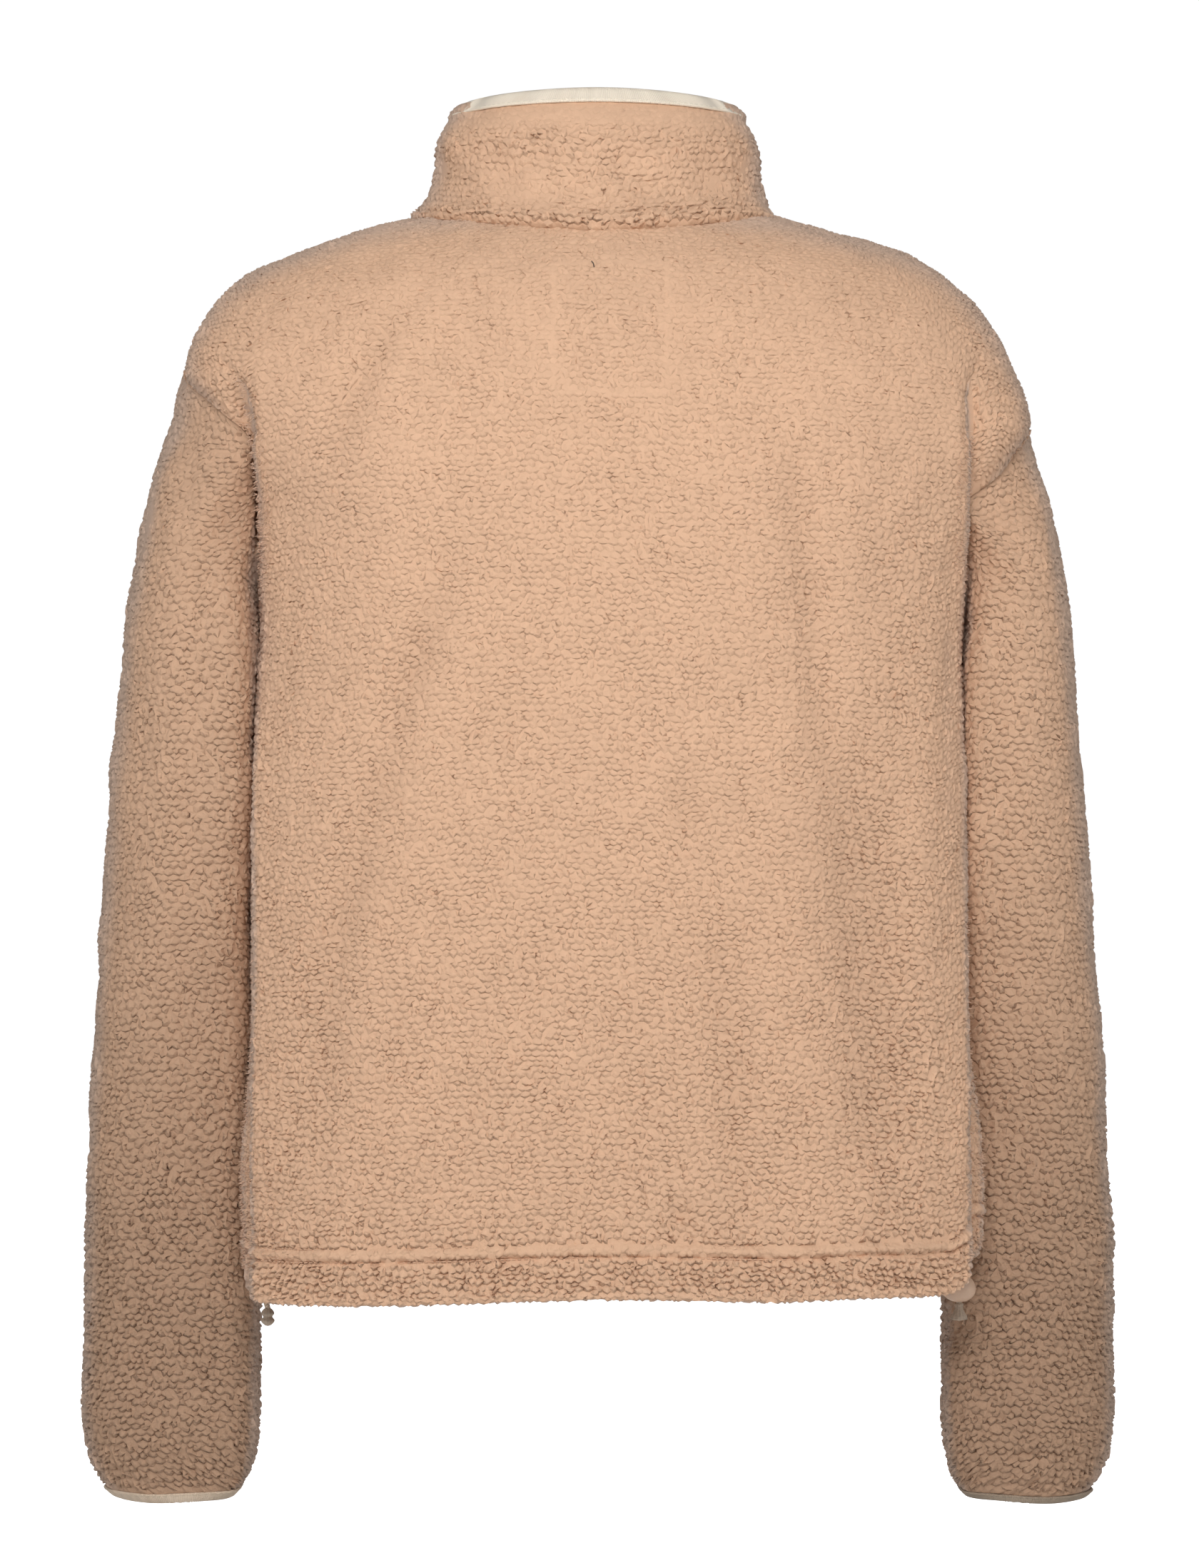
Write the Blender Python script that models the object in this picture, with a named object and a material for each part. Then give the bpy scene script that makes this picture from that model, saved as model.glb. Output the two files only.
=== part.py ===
"""Sherpa fleece pullover, filled out as if it were worn: two body panels, two sleeves, a stand
collar, cream bindings at the neck and cuffs, and a hem drawcord. Lengths are in millimetres until
a mesh is written. +X is the wearer's left, +Y the back, +Z up. The origin is the middle of the neck,
level with the neck points of the shoulders."""

import math

import bpy
import numpy as np

MM = 0.001

# Cloth
WALL = 3.5  # high-pile fleece, with its pile pressed
HEM_WALL = 6.0  # two layers where the hem is turned up
HEM_DEPTH = 30.0  # from the hem's fold to its upper row of stitches
HEM_STEP = 5.0  # over which the second layer ends
HEM_PROUD = 0.9  # the turned-up band stands this far out of the panel
SEAM_GAP = 0.3

# The body is a stack of rings from the hem to the neckline. Each ring passes through a point at
# either side, one at the middle of the back and one at the middle of the front. "square" is the
# ring's superellipse power, and a pinch is the dent that the hanging arm presses into the side.
BODY_COLUMNS = (
    "level", "left_x", "left_z", "right_x", "right_z",
    "back_y", "back_z", "front_y", "front_z", "square", "left_pinch", "right_pinch",
)  # fmt: skip
BODY_LEVELS = (
    (0, 197, -574, -213, -571, 114, -566, -112, -568, 2.9, 17, 34),
    (60, 197, -513, -213, -511, 113, -507, -111, -508, 2.9, 17, 32),
    (150, 192, -420, -205, -418, 113, -417, -111, -418, 2.9, 14, 26),
    (240, 188, -328, -198, -327, 116, -328, -112, -328, 2.9, 12, 21),
    (310, 186, -258, -199, -262, 118, -258, -114, -258, 2.8, 13, 22),
    (345, 185, -212, -199, -232, 119, -226, -115, -224, 2.8, 13, 21),
    (370, 189, -160, -202, -190, 119, -201, -115, -200, 2.7, 11, 17),
    (393, 203, -117, -213, -150, 118.5, -178, -114, -178, 2.65, 4, 6),
    (416, 221, -81, -230, -112, 117, -155, -112, -156, 2.55, 0, 0),
    (450, 210, -56, -215, -70, 114, -121, -109, -126, 2.45, 0, 0),
    (492, 190, -35, -190, -38, 106, -80, -104, -95, 2.35, 0, 0),
    (526, 160, -20, -158, -20, 95, -48, -98, -71, 2.25, 0, 0),
    (551, 128, -9, -126, -10, 82, -27, -91, -56, 2.1, 0, 0),
    (570, 95.5, -1.5, -93, -2, 70, -14, -83, -46, 2.0, 0, 0),
)
RING_Y = -4.0  # the sides' widest line
PINCH_Y = -22.0
PINCH_WIDTH = 52.0
RING_LIFT = 1.8  # how late a ring's height leaves that of its sides, round to the back and front
UNDERARM_LEVEL = 345.0
SHOULDER_LEVEL = 416.0
NECK_LEVEL = 570.0

# The side seam runs up to the underarm, and the shoulder seam lies in front of the ridge. Angles
# are in degrees from the ring's side towards the back.
SEAM_COLUMNS = ("level", "angle")
SEAM_LEVELS = ((0, 12), (120, 8), (345, -5), (416, -4), (570, -11))
ARMHOLE_BACK = 20.0  # how far the armhole opens from that seam, in degrees
ARMHOLE_FRONT = 19.0

# The hem rises at the side seams, where the drawcord comes out of it.
HEM_RISE = {1: 4.0, -1: 14.0}
HEM_RISE_ANGLE = 6.5
HEM_RISE_HEIGHT = 45.0

# Behind each armpit the back panel folds over the dropped shoulder. Distances are from the middle.
FOLD_COLUMNS = ("z", "left_x", "right_x")
ARMPIT_FOLD = ((-170, 179, 191), (-123, 180, 191), (-101, 184, 192), (-86, 194, 199), (-60, 204, 208))
FOLD_STEP = 15.0
FOLD_SHARPNESS = 8.0
FOLD_FADE = 34.0
FOLD_TOP_Z = -84.0
FOLD_FULL_Z = -112.0

# Large soft folds: which panel, where each starts and ends, its half-width and its depth.
CREASE_END = 0.55  # of its depth, left at a fold's ends
CREASE_COLUMNS = ("panel", "x1", "z1", "x2", "z2", "width", "depth")
CREASES = (
    ("back", 76, -182, 40, -250, 26, -4.5),
    ("back", 112, -300, 132, -370, 30, -5.0),
    ("back", 132, -380, 150, -470, 26, -4.0),
    ("back", 112, -85, 130, -125, 16, -2.5),
    ("back", -96, -145, -106, -240, 24, -4.0),
    ("back", -124, -320, -136, -470, 34, -5.0),
    ("back", -70, -320, -66, -540, 24, -3.0),
    ("back", -36, -530, -40, -545, 26, -2.5),
    ("back", 30, -330, 24, -520, 40, 3.0),
    ("back", 168, -260, 170, -330, 14, 2.5),
    ("back", -176, -230, -178, -330, 16, -3.0),
    ("front", 84, -170, 46, -260, 26, -4.5),
    ("front", 118, -310, 146, -450, 30, -5.0),
    ("front", -92, -150, -104, -250, 26, -4.0),
    ("front", -128, -330, -138, -480, 32, -5.0),
    ("front", 10, -330, 20, -520, 40, 3.0),
    ("front", 30, -95, -30, -110, 26, -3.0),
    ("front", -60, -340, -56, -520, 24, -3.0),
)

# Sleeve rings, from below the armhole to the cuff, for the left arm and the right.
ARMHOLE_VALLEY = (-0.05, 0.35)  # how upright the sleeve leaves the body where its edge leans over
UNDERARM_GAP = 1.2  # between the sleeve and the side, where the sleeve turns back under the arm
SLEEVE_COLUMNS = ("outer_z", "inner_z", "outer_x", "inner_x", "back_y", "front_y", "square")
SLEEVES = {
    1: (
        (-150, -246, 243.5, 178, 57, -92, 2.3),
        (-222, -290, 254.5, 179, 55, -94, 2.3),
        (-318, -350, 263.5, 180.5, 45, -92, 2.2),
        (-420, -430, 271, 182, 32, -88, 2.2),
        (-520, -520, 276.5, 183, 21, -84, 2.2),
        (-600, -600, 279.5, 183, 11, -86, 2.2),
        (-645, -645, 279.5, 183.5, 4, -91, 2.2),
        (-664, -664, 278, 185.5, -1, -92, 2.1),
        (-676, -676, 273.5, 189.5, -6, -88, 2.0),
        (-683.5, -683.5, 266, 195, -10, -84, 2.0),
    ),
    -1: (
        (-162, -264, 244, 187, 57, -92, 2.3),
        (-232, -304, 253.5, 187, 55, -94, 2.3),
        (-322, -356, 260.5, 187, 45, -92, 2.2),
        (-420, -430, 268.5, 186.5, 32, -88, 2.2),
        (-520, -520, 275, 186, 21, -84, 2.2),
        (-600, -600, 278.5, 184.5, 11, -86, 2.2),
        (-645, -645, 278, 185, 4, -91, 2.2),
        (-664, -664, 277, 187, -1, -92, 2.1),
        (-676, -676, 272.5, 190, -6, -88, 2.0),
        (-683.5, -683.5, 265.5, 195.5, -10, -84, 2.0),
    ),
}
# Sleeve folds: side, angle round the sleeve, height, half-height, half-angle and depth.
SLEEVE_FOLD_TILT = 0.35  # millimetres up for each degree round the sleeve
SLEEVE_FOLD_COLUMNS = ("side", "angle", "z", "height", "spread", "depth")
SLEEVE_FOLDS = (
    (1, 60, -300, 60, 30, -3.0),
    (1, 110, -420, 40, 45, -3.5),
    (1, 250, -300, 36, 60, -4.0),
    (1, 265, -370, 26, 55, -3.5),
    (1, 40, -560, 50, 35, -2.5),
    (-1, 70, -330, 55, 32, -3.0),
    (-1, 100, -470, 38, 45, -3.5),
    (-1, 255, -290, 34, 60, -4.0),
    (-1, 262, -380, 28, 55, -3.5),
    (-1, 45, -590, 42, 40, -2.5),
)

# Collar rings, as heights above the neckline at the back, sides and front, with how far each
# stands outside the neckline's own ring.
COLLAR_WALL = 4.0
COLLAR_FOOT = 4.2  # how much of the panels' neck edge the collar stands on
COLLAR_COLUMNS = ("back_up", "side_up", "front_up", "out")
COLLAR_RINGS = (
    (7, 5, 7, 2.5),
    (19, 14, 19, -3.5),
    (33, 25, 33, -6.0),
    (47, 37, 47, -6.5),
    (60.5, 48.5, 60.5, -10.5),
    (70, 57, 70, -17.5),
)
COLLAR_DENT_AT = 25.0
COLLAR_DENT_ANGLE = 12.0
COLLAR_DENT = 3.0

# How finely the cloth is divided
SLEEVE_ROWS = (0, 0.12, 0.3, 0.6, 1, 1.5, 2, 2.5, 3, 3.5, 4, 4.5, 5, 5.5, 6, 6.5, 7, 7.5, 8, 9, 10)
BACK_COLUMNS = 25
FRONT_COLUMNS = 21
CROWD = 0.55  # how much closer the columns lie towards the seams
SIDE_ROWS = 9
ARMHOLE_ROWS = 10
SHOULDER_ROWS = 7
RUN_POINTS = 600  # used to measure along a ring
ANGLE_STEP = 1e-3  # used to measure slopes, in radians and in levels
LEVEL_STEP = 0.5

# Bindings
BINDING_WALL = 1.3
BINDING_CROWN = 1.15  # how high the band stands over the cloth's edge, in its own thicknesses
BINDING_ROLL = 0.5

# Drawcord: it leaves the inside of the hem beside each side seam and hangs inside the cloth.
CORD = 3.0  # diameter
CORD_SIDES = 2  # bevel resolution
CORD_STEP = 6.5  # between a cord's points
CORD_TOP = 26.5  # above the hem's fold
CORD_GAP = 0.6  # between a cord and the cloth that it leaves
CORD_SETTLE = 19.0  # the length over which a cord leaves the cloth
CORD_COLUMNS = ("side", "length", "swing", "inset")  # free length, swing inwards, stand off the cloth
CORDS = ((1, 32.5, 4.5, 0.6), (-1, 33.5, 0.0, 3.4))
TOGGLE_RADIUS = 8.8
TOGGLE_HEIGHT = 15.5
TOGGLE_TOP = -559.5
TOGGLE_TAPER = 0.12  # narrower at its top
TOGGLE_ROWS = 8
KNOT_RADIUS = 3.9
KNOT_HEIGHT = 9.5
KNOT_WAIST = 0.32  # how far the two lobes of a knot are parted
KNOT_WAIST_WIDTH = 0.12
KNOT_ROWS = 9
KNOT_TIP = 0.15  # radius of the flats at its ends
TURNED_SIDES = 14


def table(columns, rows):
    """Rows of numbers as one array for each named column."""
    return {name: np.array([row[i] for row in rows], float) for i, name in enumerate(columns)}


def ease(knots, values, at):
    """A monotone cubic through a table's rows, which never overshoots them."""
    at = np.clip(at, knots[0], knots[-1])
    step = np.diff(knots)
    rate = np.diff(values) / step
    slope = np.zeros(len(values))
    slope[0], slope[-1] = rate[0], rate[-1]
    for i in range(1, len(values) - 1):
        if rate[i - 1] * rate[i] > 0:
            before = 2 * step[i] + step[i - 1]
            after = step[i] + 2 * step[i - 1]
            slope[i] = (before + after) / (before / rate[i - 1] + after / rate[i])
    i = np.clip(np.searchsorted(knots, at, side="right") - 1, 0, len(step) - 1)
    t = (at - knots[i]) / step[i]
    held = values[i] * (1 + 2 * t) * (1 - t) ** 2 + values[i + 1] * t**2 * (3 - 2 * t)
    return held + step[i] * t * (1 - t) * (slope[i] * (1 - t) - slope[i + 1] * t)


def unit(v):
    return v / np.maximum(np.linalg.norm(v, axis=-1, keepdims=True), 1e-9)


def ramp(value, start, end):
    """0 before start, 1 after end, smooth between."""
    t = np.clip((value - start) / (end - start), 0, 1)
    return t * t * (3 - 2 * t)


BODY = table(BODY_COLUMNS, BODY_LEVELS)
SEAM = table(SEAM_COLUMNS, SEAM_LEVELS)
FOLD = table(FOLD_COLUMNS, ARMPIT_FOLD)


def body_column(name, level):
    return ease(BODY["level"], BODY[name], level)


def bare_body(angle, level):
    """A point of the body's outside before its folds, at an angle round the ring at a level."""
    c, s = np.cos(angle), np.sin(angle)
    left, right = body_column("left_x", level), body_column("right_x", level)
    middle, half = (left + right) / 2, (left - right) / 2
    deep = np.where(s >= 0, body_column("back_y", level) - RING_Y, RING_Y - body_column("front_y", level))
    power = body_column("square", level)
    reach = ((np.abs(c) / half) ** power + (np.abs(s) / deep) ** power) ** (-1 / power)
    x, y = reach * c, reach * s
    pinch = np.where(c >= 0, body_column("left_pinch", level), body_column("right_pinch", level))
    x = x - np.sign(c) * c * c * pinch * np.exp(-(((y + RING_Y - PINCH_Y) / PINCH_WIDTH) ** 2))
    side_z = np.where(c >= 0, body_column("left_z", level), body_column("right_z", level))
    middle_z = np.where(s >= 0, body_column("back_z", level), body_column("front_z", level))
    z = side_z + (middle_z - side_z) * np.abs(s) ** RING_LIFT
    return np.stack([x + middle, y + RING_Y, z + hem_rise(angle, level)], axis=-1)


def hem_rise(angle, level):
    """How far the hem is lifted beside each side seam."""
    rise = np.zeros(np.broadcast(angle, level).shape)
    for side, height in HEM_RISE.items():
        away = np.angle(np.exp(1j * (angle - seam_angle(side, level)))) / math.radians(HEM_RISE_ANGLE)
        rise = rise + height * np.exp(-(away**2)) * np.clip(1 - level / HEM_RISE_HEIGHT, 0, 1) ** 2
    return rise


def seam_angle(side, level):
    """The side and shoulder seams' place round the ring."""
    lean = np.radians(ease(SEAM["level"], SEAM["angle"], level))
    return lean if side > 0 else math.pi - lean


def slopes(surface, angle, level):
    """How a surface runs round its rings and up its levels, by small steps."""
    around = surface(angle + ANGLE_STEP, level) - surface(angle - ANGLE_STEP, level)
    low = np.maximum(level - LEVEL_STEP, 0)
    high = np.minimum(level + LEVEL_STEP, NECK_LEVEL)
    return around, surface(angle, high) - surface(angle, low)


def normals(surface, angle, level):
    around, up = slopes(surface, angle, level)
    return unit(np.cross(around, up))


def crease_depth(point):
    """The large folds' depth along the surface's normal."""
    depth = np.zeros(point.shape[:-1])
    for row in CREASES:
        fold = dict(zip(CREASE_COLUMNS, row))
        start = np.array([fold["x1"], fold["z1"]], float)
        run = np.array([fold["x2"], fold["z2"]], float) - start
        here = point[..., [0, 2]] - start
        along = np.clip(here @ run / (run @ run), 0, 1)
        off = np.linalg.norm(here - along[..., None] * run, axis=-1)
        facing = point[..., 1] > RING_Y if fold["panel"] == "back" else point[..., 1] <= RING_Y
        swell = CREASE_END + (1 - CREASE_END) * np.sin(math.pi * along)
        depth = depth + facing * fold["depth"] * swell * np.exp(-((off / fold["width"]) ** 2))
    return depth


def armpit_fold(point):
    """The dropped shoulder lies a step deeper than the back's edge, which folds over it."""
    x, y, z = point[..., 0], point[..., 1], point[..., 2]
    line = np.where(x >= 0, ease(FOLD["z"], FOLD["left_x"], z), ease(FOLD["z"], FOLD["right_x"], z))
    out = np.abs(x) - line
    strength = ramp(-z, -FOLD_TOP_Z, -FOLD_FULL_Z) * ramp(y, 0, 30)
    drop = 0.5 * (1 + np.tanh(out / FOLD_SHARPNESS)) * np.exp(-np.maximum(out, 0) / FOLD_FADE)
    return np.stack([0 * x, -FOLD_STEP * strength * drop, 0 * z], axis=-1)


def body(angle, level):
    """A point of the body's outside."""
    bare = bare_body(angle, level)
    proud = crease_depth(bare) + HEM_PROUD * (1 - ramp(level, HEM_DEPTH, HEM_DEPTH + HEM_STEP))
    return bare + normals(bare_body, angle, level) * proud[..., None] + armpit_fold(bare)


def armhole_opening(level):
    """0 at the underarm and the shoulder point, 1 halfway between: an oval's half-width."""
    t = np.clip((level - UNDERARM_LEVEL) / (SHOULDER_LEVEL - UNDERARM_LEVEL), 0, 1)
    return np.sqrt(np.maximum(4 * t * (1 - t), 0))


def edge_angle(side, facing, level):
    """Where a panel ends at a side, round the ring at each level. facing is 1 at the back."""
    widest = math.radians(ARMHOLE_BACK if facing > 0 else ARMHOLE_FRONT)
    return seam_angle(side, level) + side * facing * widest * armhole_opening(level)


def spread(count, crowd):
    """Fractions from 0 to 1, closer together towards both ends as crowd nears 1."""
    k = np.linspace(0, 1, count)
    return (1 - crowd) * k + crowd * 0.5 * (1 - np.cos(math.pi * k))


def row_angles(facing, level, columns):
    """Where a panel's columns cross one level: evenly eased along its outside, trimmed at the seams."""
    start, end = edge_angle(1, facing, level), edge_angle(-1, facing, level)
    if facing < 0:
        end = end - 2 * math.pi
    angles = np.linspace(start, end, RUN_POINTS)
    run = body(angles, np.full(RUN_POINTS, level))
    length = np.r_[0, np.cumsum(np.linalg.norm(np.diff(run, axis=0), axis=1))]
    trimmed = SEAM_GAP / 2 + spread(columns, CROWD) * (length[-1] - SEAM_GAP)
    return np.interp(trimmed, length, angles), start, end


def panel_grid(facing, levels, columns):
    """A panel's outer points and normals: a row for each level, from the left side to the right.
    At a seam both panels' walls stand in the seam's own direction, so the gap stays even."""
    points, outward = [], []
    for level in levels:
        here, start, end = row_angles(facing, level, columns)
        points.append(body(here, np.full(columns, level)))
        here[0], here[-1] = start, end
        outward.append(normals(body, here, np.full(columns, level)))
    return np.array(points), np.array(outward)


def armhole_levels():
    """Levels round the armhole, from the underarm to the shoulder point."""
    turn = np.linspace(math.pi, 0, ARMHOLE_ROWS + 1)
    middle, half = (UNDERARM_LEVEL + SHOULDER_LEVEL) / 2, (SHOULDER_LEVEL - UNDERARM_LEVEL) / 2
    return middle + half * np.cos(turn)


def panel_levels():
    """Levels from hem to neckline."""
    hem = [0, 12, HEM_DEPTH, HEM_DEPTH + HEM_STEP]
    side = np.linspace(HEM_DEPTH + HEM_STEP, UNDERARM_LEVEL, SIDE_ROWS + 1)[1:-1]
    shoulder = np.linspace(SHOULDER_LEVEL, NECK_LEVEL - COLLAR_FOOT, SHOULDER_ROWS + 1)[1:]
    return np.r_[hem, side, armhole_levels(), shoulder, NECK_LEVEL]


def thickness(levels):
    """The wall is doubled where the hem is turned up."""
    return HEM_WALL + (WALL - HEM_WALL) * ramp(levels, HEM_DEPTH, HEM_DEPTH + HEM_STEP)


def grid_faces(rows, columns, start, wrap, flip):
    """Quads over a grid of points, as index lists."""
    faces = []
    for r in range(rows - 1):
        for c in range(columns if wrap else columns - 1):
            d = (c + 1) % columns
            quad = [start + r * columns + c, start + r * columns + d]
            quad += [start + (r + 1) * columns + d, start + (r + 1) * columns + c]
            faces.append(quad[::-1] if flip else quad)
    return faces


def wall_faces(rows, columns, wrap):
    """Outer grid, inner grid and the edge strips between them."""
    inner = rows * columns
    faces = grid_faces(rows, columns, 0, wrap, False) + grid_faces(rows, columns, inner, wrap, True)
    for c in range(columns if wrap else columns - 1):
        d = (c + 1) % columns
        last = (rows - 1) * columns
        faces.append([d, c, inner + c, inner + d])
        faces.append([last + c, last + d, inner + last + d, inner + last + c])
    if not wrap:
        for r in range(rows - 1):
            a, b = r * columns, (r + 1) * columns
            faces += [[a, b, inner + b], [a, inner + b, inner + a]]
            a, b = a + columns - 1, b + columns - 1
            faces += [[b, a, inner + b], [a, inner + a, inner + b]]
    return faces


def mesh_object(name, points, faces, material):
    """A mesh object from points in millimetres."""
    mesh = bpy.data.meshes.new(name)
    mesh.from_pydata([tuple(p) for p in np.asarray(points) * MM], [], faces)
    mesh.validate()
    mesh.materials.append(material)
    mesh.shade_smooth()
    thing = bpy.data.objects.new(name, mesh)
    bpy.context.collection.objects.link(thing)
    return thing


def wall_object(name, outer, inner, wrap, material):
    """A closed wall between two grids of points. The faces are turned if the grid runs clockwise."""
    rows, columns = outer.shape[:2]
    faces = wall_faces(rows, columns, wrap)
    r, c = rows // 2, columns // 3
    across = outer[r, c + 1] - outer[r, c]
    along = outer[r + 1, c] - outer[r, c]
    if np.dot(np.cross(across, along), outer[r, c] - inner[r, c]) < 0:
        faces = [face[::-1] for face in faces]
    points = np.concatenate([outer.reshape(-1, 3), inner.reshape(-1, 3)])
    return mesh_object(name, points, faces, material)


def fabric(name, colour, roughness):
    """A Principled material for one cloth or trim."""
    material = bpy.data.materials.new(name)
    material.use_nodes = True
    shader = material.node_tree.nodes["Principled BSDF"]
    shader.inputs["Base Color"].default_value = (*colour, 1.0)
    shader.inputs["Roughness"].default_value = roughness
    shader.inputs["Metallic"].default_value = 0.0
    return material


def fleece_material():
    return fabric("sherpa_fleece", (0.60, 0.40, 0.27), 0.95)


def binding_material():
    return fabric("cream_binding", (0.85, 0.78, 0.68), 0.85)


def toggle_material():
    return fabric("cream_toggle", (0.62, 0.52, 0.42), 0.45)


def cord_material():
    return fabric("cream_cord", (0.66, 0.58, 0.48), 0.8)


def build_panel(name, facing, columns, material):
    levels = panel_levels()
    outer, outward = panel_grid(facing, levels, columns)
    inner = outer - outward * thickness(levels)[:, None, None]
    return wall_object(name, outer, inner, False, material)


def armhole_loop(side):
    """The armhole from the shoulder point down the back, round the underarm and up the front:
    points, body normals, and the direction out of the panel that ends there."""
    levels = armhole_levels()
    level = np.r_[levels[::-1], levels[1:-1]]
    facing = np.r_[np.ones(len(levels)), -np.ones(len(levels) - 2)]
    angle = np.where(facing > 0, edge_angle(side, 1, level), edge_angle(side, -1, level))
    loop = body(angle, level)
    tangent = unit(np.roll(loop, -1, axis=0) - np.roll(loop, 1, axis=0))
    outward = normals(body, angle, level)
    away = np.cross(tangent, outward)
    away = away * np.sign(np.sum(away * (loop.mean(axis=0) - loop), axis=1))[:, None]
    return loop, outward, unit(away)


def curl(t, power):
    """A cosine or sine, squared off as a superellipse has it."""
    return np.sign(t) * np.abs(t) ** (2 / power)


def between(low, high, t):
    """From low at -1 to high at 1."""
    return (low + high) / 2 + (high - low) / 2 * t


def sleeve_rings(side, count):
    """The sleeve's rings from its table, each an oval that tilts where the armhole does."""
    rows = table(SLEEVE_COLUMNS, SLEEVES[side])
    k = 2 * math.pi * np.arange(count) / count
    rings = []
    for i in range(len(rows["outer_z"])):
        row = {name: rows[name][i] for name in SLEEVE_COLUMNS}
        c, s = np.cos(k), np.sin(k)
        across = between(row["inner_x"], row["outer_x"], curl(c, row["square"]))
        deep = between(row["front_y"], row["back_y"], curl(s, row["square"]))
        up = between(row["inner_z"], row["outer_z"], c)
        rings.append(np.stack([side * across, deep, up], axis=-1))
    return rings


def follow(rings, at, first):
    """Points on a smooth curve through matching points of successive rings (Catmull-Rom), which
    sets off from the first ring along the vectors in first."""
    rings = np.array(rings)
    last = len(rings) - 1
    i = np.minimum(np.floor(at).astype(int), last - 1)
    t = (at - i)[:, None, None]
    start, end = rings[i], rings[i + 1]
    leaving = np.where(i[:, None, None] > 0, (end - rings[np.maximum(i - 1, 0)]) / 2, first[None])
    beyond = rings[np.minimum(i + 2, last)]
    arriving = np.where(i[:, None, None] + 2 <= last, (beyond - start) / 2, end - start)
    held = start * (1 + 2 * t) * (1 - t) ** 2 + end * t**2 * (3 - 2 * t)
    return held + t * (1 - t) * (leaving * (1 - t) - arriving * t)


def tube_normals(points, side):
    """Outward normals of a grid that closes round its columns."""
    around = np.roll(points, -1, axis=1) - np.roll(points, 1, axis=1)
    along = np.gradient(points, axis=0)
    outward = unit(np.cross(around, along))
    return outward * -side


def sleeve_folds(side, points):
    """The sleeve's folds, as a depth along its normal."""
    rows, count = points.shape[:2]
    depth = np.zeros((rows, count))
    k = 360.0 * np.arange(count)[None, :] / count
    for row in SLEEVE_FOLDS:
        fold = dict(zip(SLEEVE_FOLD_COLUMNS, row))
        if fold["side"] != side:
            continue
        turn = (k - fold["angle"] + 180) % 360 - 180
        high = (points[..., 2] - fold["z"] - SLEEVE_FOLD_TILT * turn) / fold["height"]
        depth += fold["depth"] * np.exp(-(high**2) - (turn / fold["spread"]) ** 2)
    return depth


def build_sleeve(name, side, material):
    """A tube from the armhole to the cuff. It leaves the dropped shoulder in the panel's own
    direction and turns back sharply under the arm."""
    loop, outward, away = armhole_loop(side)
    rings = sleeve_rings(side, len(loop))
    leave = unit(rings[0] - loop)
    along = np.sum(leave * away, axis=1)[:, None]
    start = loop + away * SEAM_GAP + outward * np.maximum(-along, 0) * UNDERARM_GAP
    flow = np.maximum(along, 0)
    first = unit(leave * (1 - flow) + away * flow) * np.linalg.norm(rings[0] - start, axis=1)[:, None]
    outer = follow([start] + rings, np.array(SLEEVE_ROWS), first)
    own = tube_normals(outer, side)
    outer = outer + own * sleeve_folds(side, outer)[..., None]
    own = tube_normals(outer, side)
    valley = ramp(np.sum(leave * outward, axis=1), *ARMHOLE_VALLEY)[:, None]
    own[0] = unit(own[0] * valley + outward * (1 - valley))
    return wall_object(name, outer, outer - own * WALL, True, material), outer, own


def collar_angles(level):
    """The collar's columns stand on the panels' own columns, so that it sits evenly on them."""
    back = row_angles(1, level, BACK_COLUMNS)[0]
    front = row_angles(-1, level, FRONT_COLUMNS)[0][1:-1]
    return np.r_[back, front[::-1] + 2 * math.pi]


def on_body(level, proud):
    """The collar's columns on the body's outside at a level, moved out."""
    k = collar_angles(level)
    level = np.full(len(k), level)
    return body(k, level) + normals(body, k, level) * proud


def collar_outer():
    """The collar's outer rings, which rise from the body's surface beside the neckline."""
    k = collar_angles(NECK_LEVEL)
    neck = on_body(NECK_LEVEL, SEAM_GAP)
    outward = unit((neck - neck.mean(axis=0)) * [1, 1, 0])
    rise = table(COLLAR_COLUMNS, COLLAR_RINGS)
    s = np.sin(k)
    turn = np.degrees(np.angle(np.exp(1j * (k - math.radians(COLLAR_DENT_AT)))))
    dent = COLLAR_DENT * np.exp(-((turn / COLLAR_DENT_ANGLE) ** 2))
    rings = [on_body(NECK_LEVEL - COLLAR_FOOT, SEAM_GAP)]
    for i in range(len(rise["out"])):
        middle = np.where(s >= 0, rise["back_up"][i], rise["front_up"][i])
        up = rise["side_up"][i] + (middle - rise["side_up"][i]) * np.abs(s) ** RING_LIFT
        out = rise["out"][i] - dent * math.sin(math.pi * (i + 1) / (len(rise["out"]) + 1))
        rings.append(neck + outward * out[:, None] + np.stack([0 * k, 0 * k, up], axis=-1))
    return np.array(rings)


def build_collar(material):
    outer = collar_outer()
    own = tube_normals(outer, -1)
    inner = outer - own * COLLAR_WALL
    inner[0] = on_body(NECK_LEVEL, SEAM_GAP)
    return wall_object("collar", outer, inner, True, material), outer, own


def binding_band(outer, own, wall):
    """A band folded over a wall's last two rings: its cross-section's rings in order, first the
    band's outside, then back along its inside next to the wall."""
    inner = outer - own * wall
    along = unit(outer[-1] - outer[-2])

    def shell(off):
        crown = (outer[-1] + inner[-1]) / 2 + along * off * BINDING_CROWN
        face = [outer[-2] + own[-2] * off, outer[-1] + own[-1] * off + along * off * BINDING_ROLL]
        back = [inner[-1] - own[-1] * off + along * off * BINDING_ROLL, inner[-2] - own[-2] * off]
        return face + [crown] + back

    return np.array(shell(SEAM_GAP + BINDING_WALL) + shell(SEAM_GAP)[::-1])


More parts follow.
